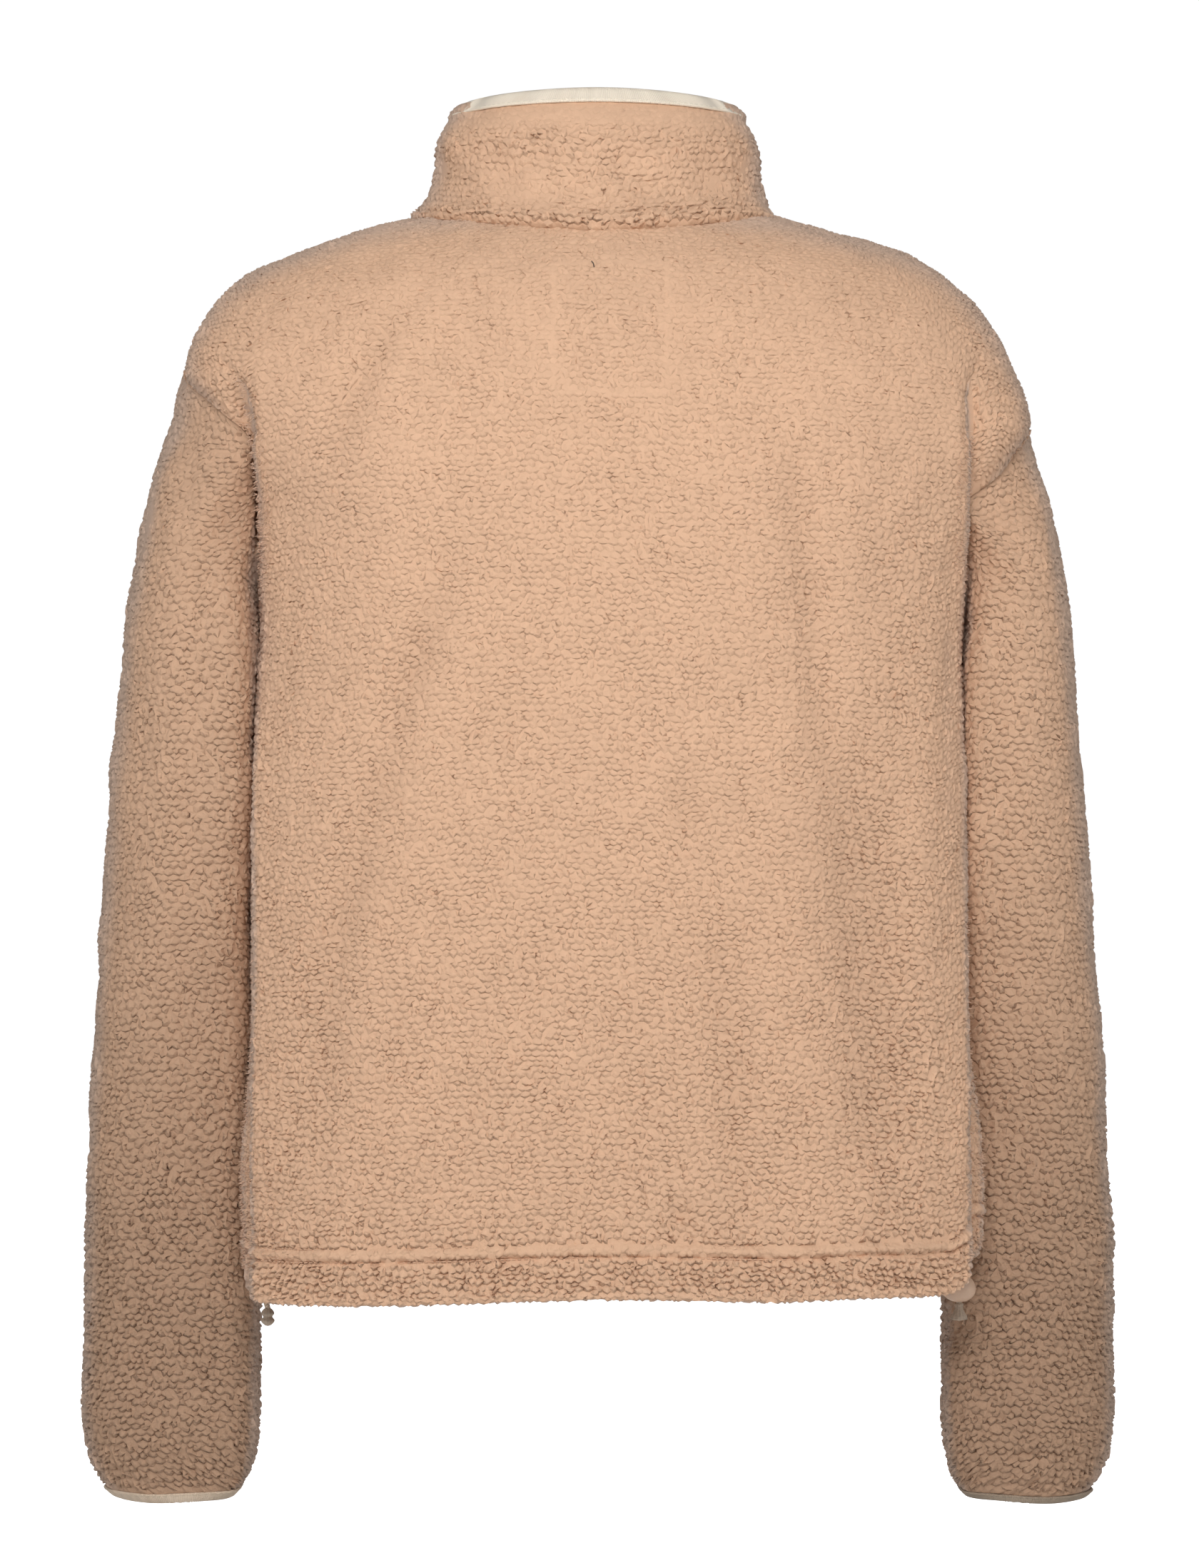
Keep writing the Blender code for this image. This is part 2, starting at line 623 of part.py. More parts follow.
def ring_object(name, rings, material):
    """A closed band from rings that go once round its cross-section."""
    rows, columns = rings.shape[:2]
    faces = []
    for r in range(rows):
        for c in range(columns):
            d = (c + 1) % columns
            below, above = r * columns, ((r + 1) % rows) * columns
            faces.append([below + c, below + d, above + d, above + c])
    volume = 0.0
    flat = rings.reshape(-1, 3)
    for a, b, c, d in faces:
        volume += np.dot(flat[a], np.cross(flat[b], flat[c])) + np.dot(flat[a], np.cross(flat[c], flat[d]))
    if volume < 0:
        faces = [face[::-1] for face in faces]
    return mesh_object(name, flat, faces, material)


def build_binding(name, outer, own, wall, material):
    """A band folded over the end of a collar or sleeve, as deep as its last two rings are apart."""
    return ring_object(name, binding_band(outer, own, wall), material)


def turned(profile, place):
    """Rings about an upright axis, from (radius, height) points."""
    turn = 2 * math.pi * np.arange(TURNED_SIDES) / TURNED_SIDES
    circle = np.stack([np.cos(turn), np.sin(turn), 0 * turn], axis=-1)
    return np.array([place + r * circle + [0, 0, z] for r, z in profile])


def cord_row(side):
    return next(dict(zip(CORD_COLUMNS, row)) for row in CORDS if row[0] == side)


def cord_point(side, along):
    """The middle of a cord, so far down its free length. It leaves the hem's inside beside a side
    seam, stands off the cloth by its inset, and swings towards the middle."""
    row = cord_row(side)
    angle, level = np.array([seam_angle(side, 0.0)]), np.array([CORD_TOP])
    outward = unit(normals(body, angle, level) * [1, 1, 0])[0]
    touching = HEM_WALL + CORD / 2 + CORD_GAP
    inside = touching + row["inset"] * ramp(along, 0, CORD_SETTLE)
    swing = row["swing"] * (along / row["length"]) ** 2
    return body(angle, level)[0] - outward * inside + [-side * swing, 0, -along]


def build_cord(name, side, material):
    """The cord's free end, from the hem's inside down to its knot."""
    length = cord_row(side)["length"]
    curve = bpy.data.curves.new(name, "CURVE")
    curve.dimensions = "3D"
    curve.bevel_depth = CORD / 2 * MM
    curve.bevel_resolution = CORD_SIDES
    curve.use_fill_caps = True
    count = int(length / CORD_STEP) + 1
    spline = curve.splines.new("POLY")
    spline.points.add(count - 1)
    for i in range(count):
        spline.points[i].co = (*cord_point(side, length * i / (count - 1)) * MM, 1.0)
    curve.materials.append(material)
    thing = bpy.data.objects.new(name, curve)
    bpy.context.collection.objects.link(thing)
    return cord_point(side, length)


def build_knot(name, end, material):
    """Two rounded lobes, one above the other, just below the cord's end."""
    t = np.linspace(0, 1, KNOT_ROWS + 2)[1:-1]
    waist = 1 - KNOT_WAIST * np.exp(-(((t - 0.5) / KNOT_WAIST_WIDTH) ** 2))
    radius = KNOT_RADIUS * np.sqrt(np.sin(math.pi * t)) * waist
    lobes = [(r, -KNOT_HEIGHT * h) for r, h in zip(radius, t)]
    profile = [(KNOT_TIP, 0.0)] + lobes + [(KNOT_TIP, -KNOT_HEIGHT)]
    points = turned(profile, end - [0, 0, SEAM_GAP]).reshape(-1, 3)
    faces = grid_faces(len(profile), TURNED_SIDES, 0, True, True)
    faces.append(list(range(TURNED_SIDES)))
    last = (len(profile) - 1) * TURNED_SIDES
    faces.append([last + i for i in range(TURNED_SIDES)][::-1])
    return mesh_object(name, points, faces, material)


def build_toggle(name, side, material):
    """An egg with a bore for the cord, hanging where the hem rises."""
    middle = cord_point(side, CORD_SETTLE)
    bore = CORD / 2 + SEAM_GAP
    rim = math.asin(bore / TOGGLE_RADIUS)
    half = TOGGLE_HEIGHT / 2
    profile = [(bore, half * math.cos(rim)), (bore, -half * math.cos(rim))]
    for lean in np.linspace(math.pi - rim, rim, TOGGLE_ROWS)[1:-1]:
        egg = 1 - TOGGLE_TAPER * math.cos(lean)
        profile.append((TOGGLE_RADIUS * math.sin(lean) * egg, half * math.cos(lean)))
    rings = turned(profile, np.array([middle[0], middle[1], TOGGLE_TOP - half]))
    return ring_object(name, rings, material)


def remove_everything():
    for thing in list(bpy.data.objects):
        bpy.data.objects.remove(thing, do_unlink=True)


def main():
    remove_everything()
    fleece = fleece_material()
    cream = binding_material()
    cord = cord_material()
    build_panel("body_back", 1, BACK_COLUMNS, fleece)
    build_panel("body_front", -1, FRONT_COLUMNS, fleece)
    for side, word in ((1, "left"), (-1, "right")):
        sleeve, outer, own = build_sleeve("sleeve_" + word, side, fleece)
        build_binding("cuff_binding_" + word, outer, own, WALL, cream)
        end = build_cord("drawcord_" + word, side, cord)
        build_knot("drawcord_knot_" + word, end, cord)
    build_toggle("cord_toggle", -1, toggle_material())
    collar, outer, own = build_collar(fleece)
    build_binding("collar_binding", outer, own, COLLAR_WALL, cream)


main()
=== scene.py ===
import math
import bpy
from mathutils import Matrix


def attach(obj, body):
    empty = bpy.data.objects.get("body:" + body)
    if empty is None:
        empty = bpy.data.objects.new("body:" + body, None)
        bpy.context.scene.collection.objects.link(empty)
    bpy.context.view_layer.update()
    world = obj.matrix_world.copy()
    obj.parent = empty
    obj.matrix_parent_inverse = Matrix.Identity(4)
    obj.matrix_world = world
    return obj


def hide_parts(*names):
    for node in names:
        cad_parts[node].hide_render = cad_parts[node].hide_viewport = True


bl_info = {
    "name": "Sherpa fleece pullover",
    "version": (1, 0, 0),
    "blender": (4, 5, 0),
    "location": "3D View > Sidebar > Pullover",
    "description": "Dresses the pullover's solids in pebbled pile, ribbed bindings, stitching and cords",
    "category": "Object",
}

import bpy
import numpy as np
from bpy.props import FloatProperty, FloatVectorProperty, IntProperty, PointerProperty
from mathutils import Vector, kdtree
from mathutils.geometry import delaunay_2d_cdt

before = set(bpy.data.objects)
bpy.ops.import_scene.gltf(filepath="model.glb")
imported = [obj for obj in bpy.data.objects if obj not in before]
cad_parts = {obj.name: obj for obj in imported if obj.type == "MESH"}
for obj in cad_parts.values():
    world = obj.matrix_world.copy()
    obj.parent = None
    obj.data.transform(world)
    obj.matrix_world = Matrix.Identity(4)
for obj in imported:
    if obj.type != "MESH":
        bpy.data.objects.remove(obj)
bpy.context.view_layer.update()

# Lengths are in millimetres until a mesh is written. +X is the wearer's left, +Y the back, +Z up.
MM = 0.001
WALL = 3.5
HEM_WALL = 6.0
HEM_DEPTH = 30.0
HEM_STEP = 5.0
HEM_PROUD = 0.9
SEAM_GAP = 0.3

# The body's rings, from the hem to the neckline
BODY_COLUMNS = (
    "level", "left_x", "left_z", "right_x", "right_z",
    "back_y", "back_z", "front_y", "front_z", "square", "left_pinch", "right_pinch",
)  # fmt: skip
BODY_LEVELS = (
    (0, 194.5, -574, -211, -571, 114, -566, -112, -568, 2.9, 17, 34),
    (60, 197, -513, -213, -511, 113, -507, -111, -508, 2.9, 17, 32),
    (150, 192, -420, -205, -418, 113, -417, -111, -418, 2.9, 14, 26),
    (240, 190.5, -328, -198, -327, 116, -328, -112, -328, 2.9, 12, 21),
    (310, 184, -258, -197.5, -262, 118, -258, -114, -258, 2.8, 13, 22),
    (345, 179.5, -212, -196.5, -232, 119, -226, -115, -224, 2.8, 13, 21),
    (370, 183, -160, -199.5, -190, 119, -201, -115, -200, 2.7, 11, 17),
    (393, 201, -117, -211.5, -150, 118.5, -178, -114, -178, 2.65, 4, 6),
    (416, 221, -81, -230, -112, 117, -155, -112, -156, 2.55, 0, 0),
    (450, 210, -56, -215, -70, 114, -121, -109, -126, 2.45, 0, 0),
    (492, 190, -35, -190, -38, 106, -80, -104, -95, 2.35, 0, 0),
    (526, 160, -20, -158, -20, 95, -48, -98, -71, 2.25, 0, 0),
    (551, 128, -9, -126, -10, 82, -27, -91, -56, 2.1, 0, 0),
    (570, 95.5, -1.5, -93, -2, 70, -14, -83, -46, 2.0, 0, 0),
)
RING_Y = -4.0
PINCH_Y = -22.0
PINCH_WIDTH = 52.0
RING_LIFT = 1.8
UNDERARM_LEVEL = 345.0
SHOULDER_LEVEL = 416.0
NECK_LEVEL = 570.0
SEAM_COLUMNS = ("level", "angle")
SEAM_LEVELS = ((0, 12), (120, 8), (345, -5), (416, -4), (570, -11))
ARMHOLE_BACK = 20.0
ARMHOLE_FRONT = 19.0
HEM_RISE = {1: 4.0, -1: 14.0}
HEM_RISE_ANGLE = 6.5
HEM_TUCK = 20.0
HEM_RISE_HEIGHT = 45.0

# Behind each armpit the back panel folds over the dropped shoulder.
FOLD_COLUMNS = ("z", "left_x", "right_x")
ARMPIT_FOLD = (
    (-260, 179.5, 191), (-190, 175.5, 189.5), (-160, 176, 190), (-123, 179.5, 191),
    (-101, 184, 192), (-86, 194, 199), (-60, 204, 208),
)  # fmt: skip
FOLD_STEP = 16.0
FOLD_SHARPNESS = 3.2
FOLD_FADE = 9.0
FOLD_TOP_Z = -84.0
FOLD_FULL_Z = -112.0
FOLD_LIP = 3.4
FOLD_LIP_WIDTH = 4.5

# Large soft folds: which panel, where each starts and ends, its half-width and its depth
CREASE_END = 0.55
CREASE_COLUMNS = ("panel", "x1", "z1", "x2", "z2", "width", "depth")
CREASES = (
    ("back", 109, -70, 136, -127, 9.9, -4.3),
    ("back", 81, -188, 114, -302, 11, -4.9),
    ("back", 114, -302, 136, -379, 12.1, -4.3),
    ("back", 136, -379, 152, -481, 14.3, -3.5),
    ("back", -101, -134, -107, -205, 8.8, -4.9),
    ("back", -107, -205, -117, -294, 9.9, -4.6),
    ("back", -129, -302, -140, -385, 18.7, -6.1),
    ("back", -140, -385, -147, -481, 16.5, -6.1),
    ("back", -134, -300, -150, -500, 30, -2.6),
    ("back", -44, -294, -48, -338, 7.7, -2.6),
    ("back", -64, -379, -67, -450, 11, -4.1),
    ("back", -67, -450, -70, -522, 11, -4.1),
    ("back", -38, -530, -50, -522, 9.9, -3.8),
    ("back", 30, -330, 24, -520, 40, 3.0),
    ("back", 172, -130, 172, -240, 11, 2.0),
    ("back", -168, -170, -169, -490, 12, 2.0),
    ("front", 84, -170, 46, -260, 26, -4.5),
    ("front", 118, -310, 146, -450, 30, -5.0),
    ("front", -92, -150, -104, -250, 26, -4.0),
    ("front", -128, -330, -138, -480, 32, -5.0),
    ("front", 10, -330, 20, -520, 40, 3.0),
    ("front", 30, -95, -30, -110, 26, -3.0),
    ("front", -60, -340, -56, -520, 24, -3.0),
)

# Sleeve rings, from below the armhole to the cuff
SLEEVE_COLUMNS = ("outer_z", "inner_z", "outer_x", "inner_x", "back_y", "front_y", "square")
SLEEVES = {
    1: (
        (-150, -246, 243.5, 178, 57, -92, 2.3),
        (-222, -290, 254.5, 179, 55, -94, 2.3),
        (-318, -350, 263.5, 180.5, 45, -92, 2.2),
        (-420, -430, 271, 182, 32, -88, 2.2),
        (-520, -520, 276.5, 183, 21, -84, 2.2),
        (-600, -600, 279.5, 183, 11, -86, 2.2),
        (-645, -645, 279.5, 183.5, 4, -91, 2.2),
        (-664, -664, 278, 185.5, -1, -92, 2.1),
        (-676, -676, 273.5, 189.5, -6, -88, 2.0),
        (-683.5, -683.5, 266, 195, -10, -84, 2.0),
    ),
    -1: (
        (-162, -264, 244, 187, 57, -92, 2.3),
        (-232, -304, 253.5, 187, 55, -94, 2.3),
        (-322, -356, 260.5, 187, 45, -92, 2.2),
        (-420, -430, 268.5, 186.5, 32, -88, 2.2),
        (-520, -520, 275, 186, 21, -84, 2.2),
        (-600, -600, 278.5, 184.5, 11, -86, 2.2),
        (-645, -645, 278, 185, 4, -91, 2.2),
        (-664, -664, 277, 187, -1, -92, 2.1),
        (-676, -676, 272.5, 190, -6, -88, 2.0),
        (-683.5, -683.5, 265.5, 195.5, -10, -84, 2.0),
    ),
}
SLEEVE_RINGS = 10
CUFF_DROP = {1: 2.0, -1: 3.2}
SLEEVE_FULL = 3.2
ARMHOLE_VALLEY = (-0.05, 0.35)
UNDERARM_GAP = 1.2
SLEEVE_FOLD_TILT = 0.35
SLEEVE_FOLD_COLUMNS = ("side", "angle", "z", "height", "spread", "depth")
SLEEVE_FOLDS = (
    (1, 60, -300, 60, 30, -3.0),
    (1, 110, -420, 40, 45, -3.5),
    (1, 250, -300, 36, 60, -4.0),
    (1, 265, -370, 26, 55, -3.5),
    (1, 40, -560, 50, 35, -2.5),
    (-1, 70, -330, 55, 32, -3.0),
    (-1, 100, -470, 38, 45, -3.5),
    (-1, 255, -290, 34, 60, -4.0),
    (-1, 262, -380, 28, 55, -3.5),
    (-1, 45, -590, 42, 40, -2.5),
)

# Collar rings: heights above the neckline at the back, sides and front, and distance outside it
COLLAR_WALL = 4.0
COLLAR_FOOT = 4.2
COLLAR_COLUMNS = ("back_up", "side_up", "front_up", "out")
COLLAR_RINGS = (
    (7, 5, 7, 2.5),
    (19, 14, 19, -3.5),
    (33, 25, 33, -6.0),
    (47, 37, 47, -6.5),
    (61.5, 48.5, 60.5, -12.0),
    (72.5, 57.5, 70, -20.0),
)
COLLAR_DENT_AT = 25.0
COLLAR_DENT_ANGLE = 12.0
COLLAR_DENT = 1.5
BINDING_WALL = 1.3

# Drawcord
CORD = 3.0
CORD_TOP = 26.5
CORD_GAP = 0.6
CORD_SETTLE = 19.0
CORD_COLUMNS = ("side", "length", "swing", "inset")
CORDS = ((1, 32.5, 4.5, 0.6), (-1, 33.5, 0.0, 3.4))
TOGGLE_RADIUS = 8.8
TOGGLE_HEIGHT = 15.5
TOGGLE_TOP = -559.5
TOGGLE_TAPER = 0.12


def table(columns, rows):
    """Rows of numbers as one array for each named column."""
    return {name: np.array([row[i] for row in rows], float) for i, name in enumerate(columns)}


def ease(knots, values, at):
    """A monotone cubic through a table's rows, which never overshoots them."""
    at = np.clip(at, knots[0], knots[-1])
    step = np.diff(knots)
    rate = np.diff(values) / step
    slope = np.zeros(len(values))
    slope[0], slope[-1] = rate[0], rate[-1]
    for i in range(1, len(values) - 1):
        if rate[i - 1] * rate[i] > 0:
            before = 2 * step[i] + step[i - 1]
            after = step[i] + 2 * step[i - 1]
            slope[i] = (before + after) / (before / rate[i - 1] + after / rate[i])
    i = np.clip(np.searchsorted(knots, at, side="right") - 1, 0, len(step) - 1)
    t = (at - knots[i]) / step[i]
    held = values[i] * (1 + 2 * t) * (1 - t) ** 2 + values[i + 1] * t**2 * (3 - 2 * t)
    return held + step[i] * t * (1 - t) * (slope[i] * (1 - t) - slope[i + 1] * t)


def unit(v):
    return v / np.maximum(np.linalg.norm(v, axis=-1, keepdims=True), 1e-9)


def ramp(value, start, end):
    """0 before start, 1 after end, smooth between."""
    t = np.clip((value - start) / (end - start), 0, 1)
    return t * t * (3 - 2 * t)


def bell(distance, width):
    return np.exp(-((distance / width) ** 2))


BODY = table(BODY_COLUMNS, BODY_LEVELS)
SEAM = table(SEAM_COLUMNS, SEAM_LEVELS)
FOLD = table(FOLD_COLUMNS, ARMPIT_FOLD)


def ring_values(level):
    """The body table's columns at each level."""
    return {name: ease(BODY["level"], BODY[name], level) for name in BODY_COLUMNS}


def seam_angle(side, level):
    """The side and shoulder seams' place round the ring."""
    lean = np.radians(ease(SEAM["level"], SEAM["angle"], level))
    return lean if side > 0 else math.pi - lean


def hem_rise(angle, level):
    """How far the hem is lifted beside each side seam."""
    rise = np.zeros(np.broadcast(angle, level).shape)
    for side, height in HEM_RISE.items():
        away = np.angle(np.exp(1j * (angle - seam_angle(side, level))))
        away = away / math.radians(HEM_RISE_ANGLE)
        rise = rise + height * bell(away, 1) * np.clip(1 - level / HEM_RISE_HEIGHT, 0, 1) ** 2
    return rise


def hem_tuck(angle, level):
    """How much further the cord has drawn up the hem's right corner."""
    back = -np.degrees(np.angle(np.exp(1j * (angle - seam_angle(-1, level)))))
    corner = HEM_TUCK * np.where(back > 0, 1 - ramp(back, 5.5, 14.5), bell(back, 7))
    corner = np.maximum(corner - HEM_RISE[-1] * bell(back, HEM_RISE_ANGLE), 0)
    corner = corner + 2.8 * ramp(back, 0, 4) * (1 - ramp(back, 26, 44))
    return corner * np.clip(1 - level / HEM_RISE_HEIGHT, 0, 1) ** 2


def bare_body(angle, level):
    """A point of the body's outside before its folds, at an angle round the ring at a level."""
    ring = ring_values(level)
    c, s = np.cos(angle), np.sin(angle)
    middle, half = (ring["left_x"] + ring["right_x"]) / 2, (ring["left_x"] - ring["right_x"]) / 2
    deep = np.where(s >= 0, ring["back_y"] - RING_Y, RING_Y - ring["front_y"])
    power = ring["square"]
    reach = ((np.abs(c) / half) ** power + (np.abs(s) / deep) ** power) ** (-1 / power)
    x, y = reach * c, reach * s
    pinch = np.where(c >= 0, ring["left_pinch"], ring["right_pinch"])
    x = x - np.sign(c) * c * c * pinch * bell(y + RING_Y - PINCH_Y, PINCH_WIDTH)
    side_z = np.where(c >= 0, ring["left_z"], ring["right_z"])
    middle_z = np.where(s >= 0, ring["back_z"], ring["front_z"])
    z = side_z + (middle_z - side_z) * np.abs(s) ** RING_LIFT
    return np.stack([x + middle, y + RING_Y, z + hem_rise(angle, level) + hem_tuck(angle, level)], axis=-1)


def normals(surface, angle, level):
    """Outward normals of a surface, by small steps."""
    around = surface(angle + 1e-3, level) - surface(angle - 1e-3, level)
    low = np.maximum(level - 0.5, 0)
    high = np.minimum(level + 0.5, NECK_LEVEL)
    return unit(np.cross(around, surface(angle, high) - surface(angle, low)))


def crease_depth(point):
    """The large folds' depth along the surface's normal."""
    depth = np.zeros(point.shape[:-1])
    for row in CREASES:
        fold = dict(zip(CREASE_COLUMNS, row))
        start = np.array([fold["x1"], fold["z1"]], float)
        run = np.array([fold["x2"], fold["z2"]], float) - start
        here = point[..., [0, 2]] - start
        along = np.clip(here @ run / (run @ run), 0, 1)
        off = np.linalg.norm(here - along[..., None] * run, axis=-1)
        facing = point[..., 1] > RING_Y if fold["panel"] == "back" else point[..., 1] <= RING_Y
        swell = CREASE_END + (1 - CREASE_END) * np.sin(math.pi * along)
        depth = depth + facing * fold["depth"] * swell * bell(off, fold["width"])
    return depth


def armpit_fold(point):
    """The dropped shoulder lies a step deeper than the back's edge, which rolls out over it."""
    x, y, z = point[..., 0], point[..., 1], point[..., 2]
    line = np.where(x >= 0, ease(FOLD["z"], FOLD["left_x"], z), ease(FOLD["z"], FOLD["right_x"], z))
    out = np.abs(x) - line
    strength = ramp(-z, -FOLD_TOP_Z, -FOLD_FULL_Z) * ramp(y, 0, 30)
    drop = 0.5 * (1 + np.tanh(out / FOLD_SHARPNESS)) * np.exp(-np.maximum(out, 0) / FOLD_FADE)
    lip = bell(out + FOLD_LIP_WIDTH / 2, FOLD_LIP_WIDTH) - 0.8 * bell(out - FOLD_LIP_WIDTH, FOLD_LIP_WIDTH)
    return np.stack([np.sign(x) * FOLD_LIP * strength * lip, -FOLD_STEP * strength * drop, 0 * z], axis=-1)


def body(angle, level):
    """A point of the body's outside."""
    bare = bare_body(angle, level)
    proud = crease_depth(bare) + HEM_PROUD * (1 - ramp(level, HEM_DEPTH, HEM_DEPTH + HEM_STEP))
    return bare + normals(bare_body, angle, level) * proud[..., None] + armpit_fold(bare)


def armhole_opening(level):
    """0 at the underarm and the shoulder point, 1 halfway between: an oval's half-width."""
    t = np.clip((level - UNDERARM_LEVEL) / (SHOULDER_LEVEL - UNDERARM_LEVEL), 0, 1)
    return np.sqrt(np.maximum(4 * t * (1 - t), 0))


# At the back each armhole seam bows in towards the fold: at which level, by how many degrees, over what height
ARMHOLE_BOW = {1: (397.0, 5.5, 7.5), -1: (391.0, 5.0, 7.0)}


def edge_angle(side, facing, level):
    """Where a panel ends at a side, round the ring at each level. facing is 1 at the back."""
    widest = math.radians(ARMHOLE_BACK if facing > 0 else ARMHOLE_FRONT)
    at, bow, height = ARMHOLE_BOW[side]
    height = np.where(level < at, 1.6 * height, height)
    bow = math.radians(bow) * (facing > 0) * bell(level - at, height) * ramp(SHOULDER_LEVEL - level, 0, 4)
    return seam_angle(side, level) + side * facing * (widest * armhole_opening(level) + bow)


def wave(u, v, length, seed, count=7):
    """A soft field between about -1 and 1 that varies over a length."""
    rng = np.random.default_rng(seed)
    total = 0.0
    for _ in range(count):
        turn, phase, size = rng.uniform(0, math.pi), rng.uniform(0, 2 * math.pi), rng.uniform(0.75, 1.35)
        total = total + np.sin(2 * math.pi * (u * math.cos(turn) + v * math.sin(turn)) / (length * size) + phase)
    return total / math.sqrt(count)


class Cloth:
    """A surface's grid of points and normals over two parameters, with its flat pattern: how far
    across from a middle column and how far up from its lower edge each place lies in the cloth."""

    ROW = 2.0

    def __init__(self, a, b, points, outward, middle, start):
        self.a, self.b, self.points, self.outward = a, b, points, outward
        rise = np.linalg.norm(np.diff(points, axis=0), axis=2)
        self.up = np.concatenate([np.zeros((1, len(a))), np.cumsum(rise, axis=0)])
        first = np.array([np.interp(start, b, self.up[:, i]) for i in range(len(a))])
        self.up = self.up - first
        self.rows = np.arange(math.floor(self.up.min() / self.ROW) * self.ROW, self.up.max(), self.ROW)
        self.level = np.array([np.interp(self.rows, self.up[:, i], b) for i in range(len(a))]).T
        places = np.empty((len(self.rows), len(a), 3))
        for i in range(len(a)):
            for k in range(3):
                places[:, i, k] = np.interp(self.rows, self.up[:, i], points[:, i, k])
        run = np.linalg.norm(np.diff(places, axis=1), axis=2)
        across = np.concatenate([np.zeros((len(self.rows), 1)), np.cumsum(run, axis=1)], axis=1)
        centre = np.array([np.interp(middle, a, row) for row in across])
        self.across = across - centre[:, None]

    def sample(self, values, a, b):
        """Values of the grid at any places."""
        i = np.interp(a, self.a, np.arange(len(self.a)))
        j = np.interp(b, self.b, np.arange(len(self.b)))
        i0 = np.minimum(i.astype(int), len(self.a) - 2)
        j0 = np.minimum(j.astype(int), len(self.b) - 2)
        s, t = i - i0, j - j0
        if values.ndim == 3:
            s, t = s[:, None], t[:, None]
        low = values[j0, i0] * (1 - s) + values[j0, i0 + 1] * s
        high = values[j0 + 1, i0] * (1 - s) + values[j0 + 1, i0 + 1] * s
        return low * (1 - t) + high * t

    def flat(self, a, b):
        """A place's own point on the flat pattern."""
        up = self.sample(self.up, a, b)
        return np.stack([self._by_row(up, a, self.a, self.across, False), up], axis=-1)

    def place(self, across, up):
        """The parameters of points on the flat pattern."""
        a = self._by_row(up, across, self.across, self.a, True)
        return a, self._by_row(up, a, self.a, self.level, False)

    def _by_row(self, up, at, knots, values, by_row):
        row = np.clip((up - self.rows[0]) / self.ROW, 0, len(self.rows) - 1.001)
        low = row.astype(int)
        blend = row - low
        found = np.zeros(len(row))
        order = np.argsort(low, kind="stable")
        ends = np.searchsorted(low[order], np.arange(len(self.rows) + 1))
        for j in range(len(self.rows) - 1):
            here = order[ends[j] : ends[j + 1]]
            if len(here) == 0:
                continue
            for k, share in ((j, 1 - blend[here]), (j + 1, blend[here])):
                x = knots[k] if by_row else knots
                y = values if by_row else values[k]
                found[here] += share * np.interp(at[here], x, y)
        return found


def tuft_lattice(low, high, wide, tall, seed, loose):
    """Tuft centres in offset rows, the points where three tufts meet, and a number for each tuft."""
    rng = np.random.default_rng(seed)
    rows = int((high[1] - low[1]) / tall) + 4
    columns = int((high[0] - low[0]) / wide) + 4
    j, i = np.mgrid[0:rows, 0:columns]
    u = low[0] + (i - 1.5 + 0.5 * (j % 2)) * wide
    v = low[1] + (j - 1.5) * tall
    across = 0.20 * wide * wave(u, v, 9 * wide, seed + 1) + wide * loose * rng.uniform(-0.5, 0.5, u.shape)
    along = 0.34 * tall * wave(u, v, 8 * wide, seed + 2) + 1.2 * tall * loose * rng.uniform(-0.5, 0.5, v.shape)
    u, v = u + across, v + along
    tone = rng.uniform(0, 1, u.shape)
    even = (j % 2 == 0)[:-1, :-1]
    flat = np.stack([u, v, tone], axis=-1)
    here, right = flat[:-1, :-1], flat[:-1, 1:]
    above, above_right = flat[1:, :-1], flat[1:, 1:]
    standing = (here + right + np.where(even[..., None], above, above_right)) / 3
    hanging = (above + above_right + np.where(even[..., None], right, here)) / 3
    meets = np.concatenate([standing.reshape(-1, 3), hanging.reshape(-1, 3)])
    flat = flat - [0, 0.16 * tall, 0]
    return flat.reshape(-1, 3), meets


def edge_distance(points, line):
    """How far each flat point lies from a line's points."""
    tree = kdtree.KDTree(len(line))
    for i, (x, y) in enumerate(line):
        tree.insert((x, y, 0), i)
    tree.balance()
    return np.array([tree.find((x, y, 0))[2] for x, y in points])


def resample(line, step):
    """A run of places, evenly spaced by their flat length, with both ends kept."""
    places, flat = line
    length = np.r_[0, np.cumsum(np.linalg.norm(np.diff(flat, axis=0), axis=1))]
    at = np.linspace(0, length[-1], max(2, int(round(length[-1] / step)) + 1))
    return np.stack([np.interp(at, length, places[:, k]) for k in range(2)], axis=-1)


def triangulate(rim, inside):
    """Triangles within a closed rim that use every inside point."""
    points = [Vector(p) for p in rim] + [Vector(p) for p in inside]
    loop = [list(range(len(rim)))]
    found = delaunay_2d_cdt(points, [], loop, 1, 1e-6)
    first = [source[0] if source else -1 for source in found[3]]
    faces = [[first[i] for i in face] for face in found[2]]
    return np.array([face for face in faces if -1 not in face and len(face) == 3])


